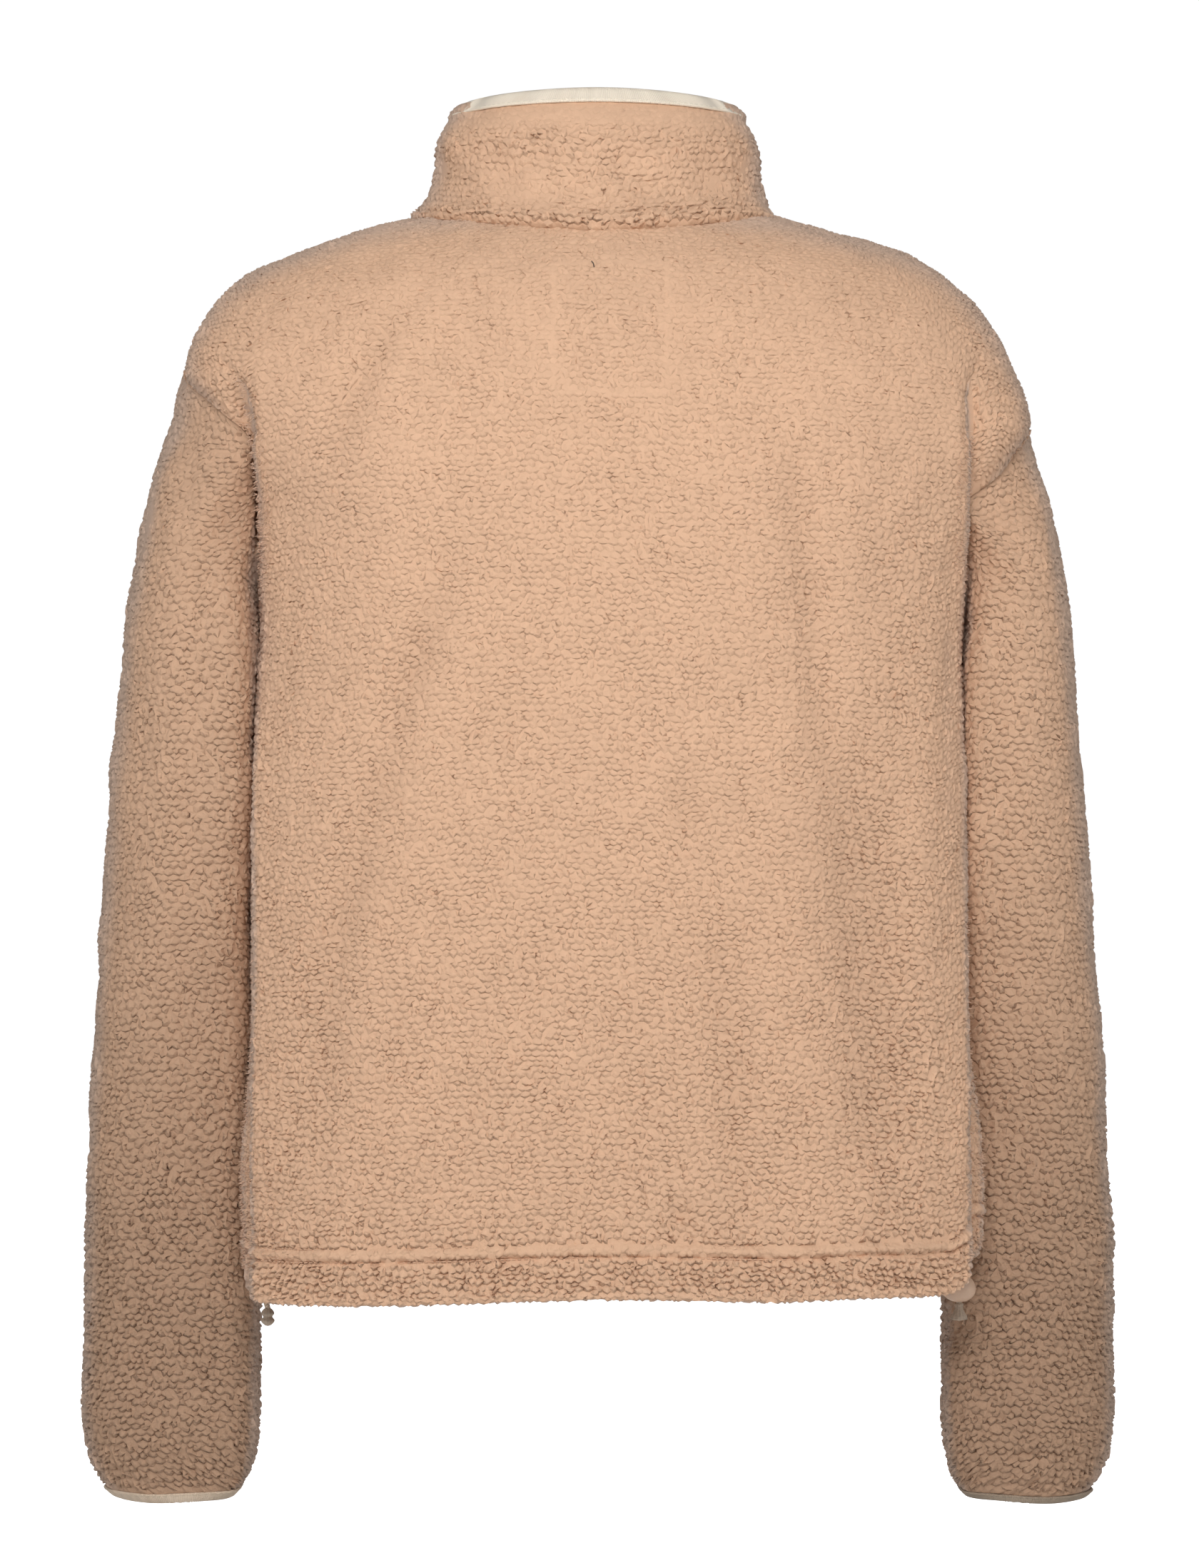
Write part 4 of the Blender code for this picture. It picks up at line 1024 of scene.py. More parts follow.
def tube_band(name, cloth, low, high, wall, material, crown, proud, rows=10, step=0.65):
    """A ribbed tape folded over a tube's end: outside from low to high, over the edge, and back down
    the inside. low and high are rows of the tube's own parameter."""
    length = abs(cloth.across[len(cloth.rows) // 2, -1] - cloth.across[len(cloth.rows) // 2, 0])
    count = 2 * int(length / step / 2)
    a = np.linspace(cloth.a[0], cloth.a[-1], count + 1)[:-1]
    b = np.linspace(low, high, rows)
    aa, bb = np.meshgrid(a, b)
    point = cloth.sample(cloth.points, aa.ravel(), bb.ravel()).reshape(rows, count, 3)
    own = unit(cloth.sample(cloth.outward, aa.ravel(), bb.ravel()).reshape(rows, count, 3))
    along = unit(point[-1] - point[-2])
    rib = np.where(np.arange(count) % 2 == 0, 0.16, -0.16)[:, None]
    outside, inside = proud, wall + SEAM_GAP
    face = [point[i] + own[i] * (outside + rib) for i in range(rows)]
    back = [point[i] - own[i] * (inside + BINDING_WALL) for i in range(rows)][::-1]
    turn = np.linspace(0, math.pi, 7)[1:-1, None, None]
    middle, half = point[-1] - own[-1] * wall / 2, wall / 2 + SEAM_GAP
    over = middle + own[-1] * (half + proud - SEAM_GAP + rib) * np.cos(turn)
    over = over + along * (BINDING_WALL + SEAM_GAP + crown + rib) * np.sin(turn)
    under = middle + own[-1] * half * np.cos(turn) + along * (SEAM_GAP + 0.2) * np.sin(turn)
    near = [point[i] - own[i] * inside for i in range(rows)]
    far = [point[i] + own[i] * (proud - BINDING_WALL - 0.1) for i in range(rows)][::-1]
    rings = np.array(face + list(over) + back + near + list(under)[::-1] + far)
    return ring_body(name, rings, material)


def ring_body(name, rings, material):
    """A closed body from rings that go once round its cross-section."""
    rows, columns = rings.shape[:2]
    r, c = np.meshgrid(np.arange(rows), np.arange(columns), indexing="ij")
    d, up = (c + 1) % columns, (r + 1) % rows
    faces = np.stack([r * columns + c, r * columns + d, up * columns + d, up * columns + c], axis=-1).reshape(-1, 4)
    flat = rings.reshape(-1, 3)
    corner = flat[faces]
    volume = np.sum(corner[:, 0] * np.cross(corner[:, 1], corner[:, 2]))
    volume += np.sum(corner[:, 0] * np.cross(corner[:, 2], corner[:, 3]))
    if volume < 0:
        faces = faces[:, ::-1]
    around = np.linalg.norm(np.diff(rings[0], axis=0, append=rings[:1, 0]), axis=1)
    section = np.linalg.norm(np.diff(rings[:, 0], axis=0, append=rings[:1, 0]), axis=1)
    u, v = np.r_[0, np.cumsum(around)], np.r_[0, np.cumsum(section)]
    column = np.stack([c, c + 1, c + 1, c], axis=-1).reshape(-1, 4)
    row = np.stack([r, r, r + 1, r + 1], axis=-1).reshape(-1, 4)
    if volume < 0:
        column, row = column[:, ::-1], row[:, ::-1]
    uv = np.stack([u[column.ravel()], v[row.ravel()]], axis=-1)
    thing = new_mesh(name, flat, faces, material, uv)
    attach(thing, "root")
    return thing


# What repeats


def repeat_group():
    """Sets a shape at each point of a mesh, aimed along the point's own aim and varied a little."""
    found = bpy.data.node_groups.get("repeat_shape")
    if found:
        return found
    tree = bpy.data.node_groups.new("repeat_shape", "GeometryNodeTree")
    tree.interface.new_socket("Geometry", in_out="INPUT", socket_type="NodeSocketGeometry")
    tree.interface.new_socket("Shape", in_out="INPUT", socket_type="NodeSocketObject")
    for name, default in (("Smallest", 1.0), ("Largest", 1.0), ("Tilt", 0.0)):
        socket = tree.interface.new_socket(name, in_out="INPUT", socket_type="NodeSocketFloat")
        socket.default_value = default
    tree.interface.new_socket("Seed", in_out="INPUT", socket_type="NodeSocketInt")
    tree.interface.new_socket("Material", in_out="INPUT", socket_type="NodeSocketMaterial")
    tree.interface.new_socket("Geometry", in_out="OUTPUT", socket_type="NodeSocketGeometry")
    entry, leave = tree.nodes.new("NodeGroupInput"), tree.nodes.new("NodeGroupOutput")
    aim = new_node(tree, "GeometryNodeInputNamedAttribute", data_type="FLOAT_VECTOR")
    aim.inputs["Name"].default_value = "aim"
    facing = new_node(tree, "FunctionNodeAlignRotationToVector", axis="Z")
    link(tree, aim.outputs["Attribute"], facing.inputs["Vector"])
    tilt = new_node(tree, "FunctionNodeRandomValue", data_type="FLOAT_VECTOR")
    wide = new_node(tree, "ShaderNodeVectorMath", operation="SCALE")
    wide.inputs[0].default_value = (1, 1, 1)
    link(tree, entry.outputs["Tilt"], wide.inputs["Scale"])
    back = new_node(tree, "ShaderNodeVectorMath", operation="SCALE")
    back.inputs["Scale"].default_value = -1
    link(tree, wide.outputs[0], back.inputs[0])
    link(tree, back.outputs[0], tilt.inputs["Min"])
    link(tree, wide.outputs[0], tilt.inputs["Max"])
    link(tree, entry.outputs["Seed"], tilt.inputs["Seed"])
    turned = new_node(tree, "FunctionNodeRotateRotation", rotation_space="LOCAL")
    link(tree, facing.outputs[0], turned.inputs[0])
    link(tree, tilt.outputs["Value"], turned.inputs[1])
    size = new_node(tree, "FunctionNodeRandomValue", data_type="FLOAT")
    link(tree, entry.outputs["Smallest"], size.inputs[2])
    link(tree, entry.outputs["Largest"], size.inputs[3])
    link(tree, entry.outputs["Seed"], size.inputs["Seed"])
    shape = new_node(tree, "GeometryNodeObjectInfo", transform_space="ORIGINAL")
    link(tree, entry.outputs["Shape"], shape.inputs["Object"])
    put = new_node(tree, "GeometryNodeInstanceOnPoints")
    link(tree, entry.outputs["Geometry"], put.inputs["Points"])
    link(tree, shape.outputs["Geometry"], put.inputs["Instance"])
    link(tree, turned.outputs[0], put.inputs["Rotation"])
    link(tree, size.outputs[1], put.inputs["Scale"])
    real = new_node(tree, "GeometryNodeRealizeInstances")
    link(tree, put.outputs[0], real.inputs[0])
    paint = new_node(tree, "GeometryNodeSetMaterial")
    link(tree, real.outputs[0], paint.inputs["Geometry"])
    link(tree, entry.outputs["Material"], paint.inputs["Material"])
    link(tree, paint.outputs[0], leave.inputs[0])
    return tree


def repeated(name, points, aims, shape, material, smallest=1.0, largest=1.0, tilt=0.0, seed=3):
    """One plain mesh of a shape set at each point."""
    mesh = bpy.data.meshes.new(name + "_points")
    mesh.from_pydata([tuple(p) for p in np.asarray(points) * MM], [], [])
    layer = mesh.attributes.new("aim", "FLOAT_VECTOR", "POINT")
    layer.data.foreach_set("vector", np.asarray(aims, np.float32).ravel())
    carrier = bpy.data.objects.new(name + "_points", mesh)
    bpy.context.collection.objects.link(carrier)
    group = repeat_group()
    modifier = carrier.modifiers.new("repeat", "NODES")
    modifier.node_group = group
    given = {
        "Shape": shape, "Smallest": smallest, "Largest": largest, "Tilt": tilt, "Seed": seed, "Material": material,
    }  # fmt: skip
    for item in group.interface.items_tree:
        if item.item_type == "SOCKET" and item.in_out == "INPUT" and item.name in given:
            modifier[item.identifier] = given[item.name]
    depsgraph = bpy.context.evaluated_depsgraph_get()
    made = bpy.data.meshes.new_from_object(carrier.evaluated_get(depsgraph))
    carrier.modifiers.clear()
    bpy.data.objects.remove(carrier)
    made.name = name
    made.shade_smooth()
    thing = bpy.data.objects.new(name, made)
    bpy.context.collection.objects.link(thing)
    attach(thing, "root")
    return thing


def lathe(name, profile, sides, material, squash=1.0):
    """A small closed shape turned about +Z from (radius, height) points, poles closed."""
    turn = 2 * math.pi * np.arange(sides) / sides
    points, faces = [(0, 0, profile[0][1])], []
    for radius, height in profile[1:-1]:
        points += [(radius * math.cos(t), squash * radius * math.sin(t), height) for t in turn]
    points.append((0, 0, profile[-1][1]))
    rows = len(profile) - 2
    for i in range(sides):
        k = (i + 1) % sides
        faces.append((0, 1 + k, 1 + i))
        for r in range(rows - 1):
            low, high = 1 + r * sides, 1 + (r + 1) * sides
            faces += [(low + i, low + k, high + k), (low + i, high + k, high + i)]
        top = 1 + (rows - 1) * sides
        faces.append((top + i, top + k, len(points) - 1))
    return new_mesh(name, points, faces, material)


def stitch_shape(length, thick, material):
    """A short rounded stitch that lies along its aim."""
    half = length / 2
    profile = [(0, -half), (thick * 0.36, -half * 0.9), (thick * 0.5, -half * 0.5), (thick * 0.5, half * 0.5),
               (thick * 0.36, half * 0.9), (0, half)]  # fmt: skip
    return lathe("stitch_shape", profile, 6, material)


def spaced(line, pitch):
    """Evenly spaced points along a line of points, with the line's direction at each."""
    length = np.r_[0, np.cumsum(np.linalg.norm(np.diff(line, axis=0), axis=1))]
    at = np.arange(pitch / 2, length[-1], pitch)
    points = np.stack([np.interp(at, length, line[:, k]) for k in range(3)], axis=-1)
    ahead = np.stack([np.interp(at + 0.1, length, line[:, k]) for k in range(3)], axis=-1)
    behind = np.stack([np.interp(at - 0.1, length, line[:, k]) for k in range(3)], axis=-1)
    return points, unit(ahead - behind)


def on_body_line(angle, level, proud):
    """A line on the body's outside, lifted by so much."""
    angle, level = np.broadcast_arrays(np.asarray(angle, float), np.asarray(level, float))
    return body(angle, level) + normals(body, angle, level) * proud


# Materials


def nodes_of(material):
    material.use_nodes = True
    tree = material.node_tree
    return tree, tree.nodes["Principled BSDF"]


def link(tree, out, into):
    tree.links.new(out, into)


def new_node(tree, kind, **settings):
    made = tree.nodes.new(kind)
    for key, value in settings.items():
        setattr(made, key, value)
    return made


def maths(tree, operation, first, second=None, third=None, clamp=False):
    made = new_node(tree, "ShaderNodeMath", operation=operation, use_clamp=clamp)
    for i, value in enumerate((first, second, third)):
        if value is None:
            continue
        if isinstance(value, (int, float)):
            made.inputs[i].default_value = value
        else:
            link(tree, value, made.inputs[i])
    return made.outputs[0]


def pile_group():
    """Shared by every fleece piece: where the cracks between tufts lie, as a mask of painted shade, and the pile's
    relief.
    """
    found = bpy.data.node_groups.get("pile_relief")
    if found:
        return found
    tree = bpy.data.node_groups.new("pile_relief", "ShaderNodeTree")
    for name, default in (("Crack Start", 0.64), ("Crack End", 0.94), ("Waviness", 0.34), ("Fuzz", 0.16)):
        socket = tree.interface.new_socket(name, in_out="INPUT", socket_type="NodeSocketFloat")
        socket.default_value = default
    for name in ("Crack", "Height", "Tone"):
        tree.interface.new_socket(name, in_out="OUTPUT", socket_type="NodeSocketFloat")
    entry, leave = tree.nodes.new("NodeGroupInput"), tree.nodes.new("NodeGroupOutput")
    tuft = new_node(tree, "ShaderNodeAttribute", attribute_name="tuft")
    tone = new_node(tree, "ShaderNodeAttribute", attribute_name="tone")
    strong = new_node(tree, "ShaderNodeAttribute", attribute_name="crack")
    near = new_node(tree, "ShaderNodeAttribute", attribute_name="near")
    relief = new_node(tree, "ShaderNodeAttribute", attribute_name="relief")
    place = new_node(tree, "ShaderNodeUVMap", uv_map="cloth")
    wobble = new_node(tree, "ShaderNodeTexNoise", noise_dimensions="2D")
    wobble.inputs["Scale"].default_value = 620
    wobble.inputs["Detail"].default_value = 2.0
    link(tree, place.outputs[0], wobble.inputs["Vector"])
    fuzz = new_node(tree, "ShaderNodeTexNoise", noise_dimensions="2D")
    fuzz.inputs["Scale"].default_value = 2400
    fuzz.inputs["Detail"].default_value = 2.0
    link(tree, place.outputs[0], fuzz.inputs["Vector"])
    local = new_node(tree, "ShaderNodeSeparateXYZ")
    link(tree, tuft.outputs["Vector"], local.inputs[0])
    across, up, edge = local.outputs
    shift = maths(tree, "MULTIPLY", maths(tree, "SUBTRACT", wobble.outputs[0], 0.5), entry.outputs["Waviness"])
    edge = maths(tree, "ADD", edge, shift)
    squares = [maths(tree, "MULTIPLY", part, part) for part in (across, up)]
    reach = maths(tree, "SQRT", maths(tree, "ADD", *squares))
    # Painted shadow: the cracks' painted shade is strongest beneath each tuft, as if lit from above.
    down = maths(tree, "DIVIDE", maths(tree, "MULTIPLY", up, -1.0), maths(tree, "MAXIMUM", reach, 0.25))
    below = mapped(tree, down, -0.45, 0.5, 0.16, 1.0)
    force = maths(tree, "MULTIPLY", strong.outputs["Fac"], below)
    crack = mapped(tree, edge, entry.outputs["Crack Start"], entry.outputs["Crack End"])
    valley = mapped(tree, edge, 0.15, 1.0)
    valley = maths(tree, "MULTIPLY", valley, maths(tree, "MULTIPLY_ADD", force, 0.75, 0.25))
    grain = maths(tree, "MULTIPLY", maths(tree, "SUBTRACT", fuzz.outputs[0], 0.5), entry.outputs["Fuzz"])
    valley = maths(tree, "MULTIPLY", valley, relief.outputs["Fac"])
    link(tree, maths(tree, "SUBTRACT", grain, valley), leave.inputs["Height"])
    # Painted shade: deeper pile gets darker cracks, and the seams get a dark line of painted shade as well.
    deep = maths(tree, "MULTIPLY_ADD", relief.outputs["Fac"], 0.7, 0.3)
    crack = maths(tree, "MULTIPLY", maths(tree, "MULTIPLY", crack, force), deep)
    link(tree, maths(tree, "MAXIMUM", crack, maths(tree, "MULTIPLY", near.outputs["Fac"], 0.55)), leave.inputs["Crack"])
    link(tree, tone.outputs["Fac"], leave.inputs["Tone"])
    return tree


def mapped(tree, value, low, high, to_low=0.0, to_high=1.0):
    """A smooth step between two values."""
    made = new_node(tree, "ShaderNodeMapRange", interpolation_type="SMOOTHSTEP")
    link(tree, value, made.inputs["Value"])
    for name, given in (("From Min", low), ("From Max", high), ("To Min", to_low), ("To Max", to_high)):
        if isinstance(given, (int, float)):
            made.inputs[name].default_value = given
        else:
            link(tree, given, made.inputs[name])
    return made.outputs[0]


def mixed(tree, share, first, second):
    """Two colours, each a socket or three numbers, mixed by a share."""
    made = new_node(tree, "ShaderNodeMix", data_type="RGBA")
    for socket, given in ((made.inputs[0], share), (made.inputs[6], first), (made.inputs[7], second)):
        if isinstance(given, bpy.types.NodeSocket):
            link(tree, given, socket)
        else:
            socket.default_value = given if isinstance(given, float) else (*given, 1)
    return made.outputs[2]


def fleece_material(name, colour, deep, edge, relief, dark, dim=None):
    """Peach pile with painted shade down in its cracks, a little different from tuft to tuft, with painted shade in the
    body's folds, greyer edge-on, and darker towards the cuffs by painted shade where dim is given.
    """
    material = bpy.data.materials.new(name)
    tree, shader = nodes_of(material)
    pile = new_node(tree, "ShaderNodeGroup", node_tree=pile_group())
    place = new_node(tree, "ShaderNodeUVMap", uv_map="cloth")
    cloud = new_node(tree, "ShaderNodeTexNoise", noise_dimensions="2D")
    cloud.inputs["Scale"].default_value = 26
    cloud.inputs["Detail"].default_value = 3.0
    link(tree, place.outputs[0], cloud.inputs["Vector"])
    # The tone carries random tuft colour and, on the body, painted shade in the large folds.
    vary = maths(tree, "MULTIPLY_ADD", pile.outputs["Tone"], 0.45, maths(tree, "MULTIPLY", cloud.outputs[0], 0.55))
    pale = tuple(min(1.0, v * 1.07) for v in colour)
    base = mixed(tree, vary, tuple(v * 0.93 for v in colour), pale)
    # Painted shade in the cracks between tufts.
    base = mixed(tree, maths(tree, "MULTIPLY", pile.outputs["Crack"], dark), base, deep)
    # Painted shade: given dim, the colour darkens towards the bottom of the sleeve, by height.
    if dim:
        where = new_node(tree, "ShaderNodeTexCoord")
        height = new_node(tree, "ShaderNodeSeparateXYZ")
        link(tree, where.outputs["Object"], height.inputs[0])
        painted_cuff_shade = new_node(tree, "ShaderNodeVectorMath", operation="SCALE")
        link(tree, base, painted_cuff_shade.inputs[0])
        link(tree, mapped(tree, height.outputs[2], -0.62, -0.28, *dim), painted_cuff_shade.inputs["Scale"])
        base = painted_cuff_shade.outputs[0]
    turned = new_node(tree, "ShaderNodeLayerWeight")
    turned.inputs["Blend"].default_value = 0.5
    lie = new_node(tree, "ShaderNodeAttribute", attribute_name="lie")
    link(tree, lie.outputs["Vector"], turned.inputs["Normal"])
    base = mixed(tree, mapped(tree, turned.outputs["Facing"], 0.45, 0.9, 0.0, 0.62), base, edge)
    link(tree, base, shader.inputs["Base Color"])
    bump = new_node(tree, "ShaderNodeBump")
    bump.inputs["Distance"].default_value = relief
    link(tree, pile.outputs["Height"], bump.inputs["Height"])
    link(tree, bump.outputs[0], shader.inputs["Normal"])
    shader.inputs["Roughness"].default_value = 0.95
    shader.inputs["Sheen Weight"].default_value = 0.08
    shader.inputs["Sheen Roughness"].default_value = 0.5
    shader.inputs["Sheen Tint"].default_value = (0.9, 0.72, 0.6, 1)
    shader.inputs["Specular IOR Level"].default_value = 0.15
    return material


def plain_material(name, colour, roughness):
    material = bpy.data.materials.new(name)
    _, shader = nodes_of(material)
    shader.inputs["Base Color"].default_value = (*colour, 1)
    shader.inputs["Roughness"].default_value = roughness
    return material


def tape_material(name, colour):
    """Ribbed elastic tape: fine ribs across it and a faint weave along it."""
    material = plain_material(name, colour, 0.8)
    grime = tuple(v * k for v, k in zip(colour, (0.8, 0.72, 0.64)))
    tree, shader = material.node_tree, material.node_tree.nodes["Principled BSDF"]
    place = new_node(tree, "ShaderNodeUVMap", uv_map="cloth")
    weave = new_node(tree, "ShaderNodeTexWave", bands_direction="Y", wave_profile="SIN")
    weave.inputs["Scale"].default_value = 420
    weave.inputs["Distortion"].default_value = 0.6
    link(tree, place.outputs[0], weave.inputs["Vector"])
    ribs = new_node(tree, "ShaderNodeTexWave", bands_direction="X", wave_profile="SIN")
    ribs.inputs["Scale"].default_value = 245
    ribs.inputs["Distortion"].default_value = 0.4
    link(tree, place.outputs[0], ribs.inputs["Vector"])
    cloud = new_node(tree, "ShaderNodeTexNoise", noise_dimensions="2D")
    cloud.inputs["Scale"].default_value = 60
    link(tree, place.outputs[0], cloud.inputs["Vector"])
    shade = maths(tree, "MULTIPLY_ADD", ribs.outputs["Fac"], 0.6, maths(tree, "MULTIPLY", weave.outputs["Fac"], 0.4))
    # Painted shade: the ribs' and weave's low parts are darker.
    base = mixed(tree, shade, tuple(v * 0.90 for v in colour), colour)
    base = mixed(tree, maths(tree, "MULTIPLY", mapped(tree, cloud.outputs[0], 0.5, 0.8), 0.18), base, grime)
    link(tree, base, shader.inputs["Base Color"])
    bump = new_node(tree, "ShaderNodeBump")
    bump.inputs["Distance"].default_value = 0.00025
    link(tree, shade, bump.inputs["Height"])
    link(tree, bump.outputs[0], shader.inputs["Normal"])
    shader.inputs["Sheen Weight"].default_value = 0.1
    return material


def thread_material(name, colour):
    """Twisted sewing thread."""
    material = plain_material(name, colour, 0.7)
    tree, shader = material.node_tree, material.node_tree.nodes["Principled BSDF"]
    place = new_node(tree, "ShaderNodeTexCoord")
    twist = new_node(tree, "ShaderNodeTexNoise")
    twist.inputs["Scale"].default_value = 3000
    link(tree, place.outputs["Object"], twist.inputs["Vector"])
    base = mixed(tree, twist.outputs[0], tuple(v * 0.75 for v in colour), tuple(min(1.0, v * 1.2) for v in colour))
    link(tree, base, shader.inputs["Base Color"])
    return material


def braid_material(colour):
    """Round braided cord: strands that cross in both directions."""
    material = plain_material("braided_cord", colour, 0.75)
    tree, shader = material.node_tree, material.node_tree.nodes["Principled BSDF"]
    place = new_node(tree, "ShaderNodeUVMap", uv_map="cloth")
    heights = []
    for turn in (0.9, -0.9):
        lean = new_node(tree, "ShaderNodeMapping")
        lean.inputs["Rotation"].default_value = (0, 0, turn)
        link(tree, place.outputs[0], lean.inputs["Vector"])
        strand = new_node(tree, "ShaderNodeTexWave", wave_profile="SIN")
        strand.inputs["Scale"].default_value = 260
        link(tree, lean.outputs[0], strand.inputs["Vector"])
        heights.append(strand.outputs["Fac"])
    height = maths(tree, "MAXIMUM", *heights)
    # Painted shade: the colour is darker down between the strands.
    link(tree, mixed(tree, height, tuple(v * 0.6 for v in colour), colour), shader.inputs["Base Color"])
    bump = new_node(tree, "ShaderNodeBump")
    bump.inputs["Distance"].default_value = 0.0004
    link(tree, height, bump.inputs["Height"])
    link(tree, bump.outputs[0], shader.inputs["Normal"])
    return material


def toggle_material(colour):
    """Satin moulded plastic with a faint mottle."""
    material = plain_material("moulded_toggle", colour, 0.42)
    tree, shader = material.node_tree, material.node_tree.nodes["Principled BSDF"]
    place = new_node(tree, "ShaderNodeTexCoord")
    mottle = new_node(tree, "ShaderNodeTexNoise")
    mottle.inputs["Scale"].default_value = 240
    mottle.inputs["Detail"].default_value = 4.0
    link(tree, place.outputs["Object"], mottle.inputs["Vector"])
    base = mixed(tree, mottle.outputs[0], tuple(v * 0.9 for v in colour), tuple(min(1.0, v * 1.08) for v in colour))
    link(tree, base, shader.inputs["Base Color"])
    rough = mapped(tree, mottle.outputs[0], 0.3, 0.7, 0.36, 0.52)
    link(tree, rough, shader.inputs["Roughness"])
    bump = new_node(tree, "ShaderNodeBump")
    bump.inputs["Distance"].default_value = 0.00008
    link(tree, mottle.outputs[0], bump.inputs["Height"])
    link(tree, bump.outputs[0], shader.inputs["Normal"])
    return material


def nap_material(colour):
    """Loose pile ends along the body's edges."""
    material = plain_material("loose_nap", colour, 0.95)
    tree, shader = material.node_tree, material.node_tree.nodes["Principled BSDF"]
    place = new_node(tree, "ShaderNodeTexCoord")
    cloud = new_node(tree, "ShaderNodeTexNoise")
    cloud.inputs["Scale"].default_value = 160
    link(tree, place.outputs["Object"], cloud.inputs["Vector"])
    base = mixed(tree, cloud.outputs[0], tuple(v * 0.8 for v in colour), tuple(min(1.0, v * 1.15) for v in colour))
    link(tree, base, shader.inputs["Base Color"])
    shader.inputs["Sheen Weight"].default_value = 0.2
    return material


def floor_finish():
    """A pale, evenly lit sweep."""
    material = plain_material("pale_floor", (0.93, 0.93, 0.93), 0.9)
    shader = material.node_tree.nodes["Principled BSDF"]
    shader.inputs["Emission Color"].default_value = (1, 1, 1, 1)
    seen = new_node(material.node_tree, "ShaderNodeLightPath")
    link(material.node_tree, seen.outputs["Is Camera Ray"], shader.inputs["Emission Strength"])
    return material


def ready(name, make):
    """A material by name, made the first time it is asked for."""
    return bpy.data.materials.get(name) or make()


# How high the body's pebbles stand in metres, and how strongly painted shade darkens the cracks between them
BODY_RELIEF = 0.0016
BODY_CRACKS = 0.62


def body_fleece(context):
    size = context.scene.pullover
    return ready(
        "body_fleece",
        lambda: fleece_material("body_fleece", size.fleece, size.crack, size.edge, BODY_RELIEF, BODY_CRACKS),
    )


def sleeve_fleece(context, side):
    """The sleeves' colour is darkened towards the cuffs by painted shade, and the left one more so."""
    size = context.scene.pullover
    name, dim = ("left_sleeve_fleece", (0.66, 0.88)) if side > 0 else ("right_sleeve_fleece", (0.64, 0.96))
    return ready(name, lambda: fleece_material(name, size.fleece, size.crack, size.edge, 0.0020, 0.95, dim))


class PulloverSizes(bpy.types.PropertyGroup):
    """What a user would change about the pullover."""

    tuft_width: FloatProperty(
        name="Tuft width", description="Pitch of the tufts along a row", default=0.0039, unit="LENGTH"
    )
    tuft_height: FloatProperty(
        name="Tuft height", description="Pitch of the rows of tufts", default=0.0028, unit="LENGTH"
    )
    sleeve_tuft: FloatProperty(
        name="Sleeve tuft size", description="Tufts of the sleeves, compared with the body", default=1.2
    )
    seed: IntProperty(name="Seed", description="Another arrangement of tufts", default=11)
    fleece: FloatVectorProperty(
        name="Fleece", description="Colour of the pile", subtype="COLOR", default=(0.74, 0.47, 0.31)
    )
    # The cracks' colour is painted shade deep in the pile.
    crack: FloatVectorProperty(
        name="Cracks", description="Colour deep in the pile", subtype="COLOR", default=(0.32, 0.175, 0.10)
    )
    edge: FloatVectorProperty(
        name="Edge", description="Colour of the pile seen edge-on", subtype="COLOR", default=(0.56, 0.44, 0.37)
    )
    cord: FloatVectorProperty(
        name="Cord", description="Colour of the drawcord", subtype="COLOR", default=(0.74, 0.58, 0.44)
    )
    toggle: FloatVectorProperty(
        name="Toggle", description="Colour of the toggle", subtype="COLOR", default=(0.66, 0.45, 0.32)
    )
    cream: FloatVectorProperty(
        name="Binding", description="Colour of the bindings", subtype="COLOR", default=(0.90, 0.79, 0.65)
    )


def pile_of(size, scale, seed, rim, dip, inside, *makers):
    """What worn_wall needs to know of one cloth's pile; makers are its depth, shape and lines."""
    depth, shape, lines = makers
    return {
        "wide": scale * size.tuft_width / MM, "tall": scale * size.tuft_height / MM,
        "seed": size.seed + seed, "loose": 0.86, "fade": 1.2, "rim": rim,
        "depth": depth, "shape": shape, "lines": lines, "dip": dip, "inside": inside,
    }  # fmt: skip


class PULLOVER_OT_back(bpy.types.Operator):
    """Dress the back in pebbled pile"""

    bl_idname = "pullover.back"
    bl_label = "Back"

    def execute(self, context):
        size = context.scene.pullover
        cloth = body_cloth(-16, 196, 90)
        runs, inside = panel_runs(1)
        pile = pile_of(size, 1.0, 0, 1.9, 0.45, 11.0, body_pile, body_shape, body_lines)
        back = worn_wall("fleece_back", cloth, runs, inside, pile, hem_wall, body_fleece(context))
        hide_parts("body_back")
        return {"FINISHED"}


class PULLOVER_OT_front(bpy.types.Operator):
    """Dress the front in pebbled pile"""

    bl_idname = "pullover.front"
    bl_label = "Front"

    def execute(self, context):
        size = context.scene.pullover
        cloth = body_cloth(-196, 16, -90)
        runs, inside = panel_runs(-1)
        pile = pile_of(size, 1.0, 40, 1.9, 0.45, 11.0, body_pile, body_shape, body_lines)
        front = worn_wall("fleece_front", cloth, runs, inside, pile, hem_wall, body_fleece(context))
        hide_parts("body_front")
        return {"FINISHED"}


class PULLOVER_OT_sleeves(bpy.types.Operator):
    """Dress both sleeves in pebbled pile"""

    bl_idname = "pullover.sleeves"
    bl_label = "Sleeves"

    def execute(self, context):
        size = context.scene.pullover
        for side, word in ((1, "left"), (-1, "right")):
            cloth = sleeve_cloth(side)
            runs, inside = tube_runs(cloth, 0.0, float(SLEEVE_RINGS))
            makers = sleeve_pile, sleeve_shape, no_lines
            pile = pile_of(size, size.sleeve_tuft, 80 + side, 2.2, 0.4, 10.0, *makers)
            name = "fleece_sleeve_" + word
            fleece = sleeve_fleece(context, side)
            sleeve = worn_wall(name, cloth, runs, inside, pile, lambda b: WALL + 0 * b, fleece, True)
            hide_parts("sleeve_" + word)
        return {"FINISHED"}


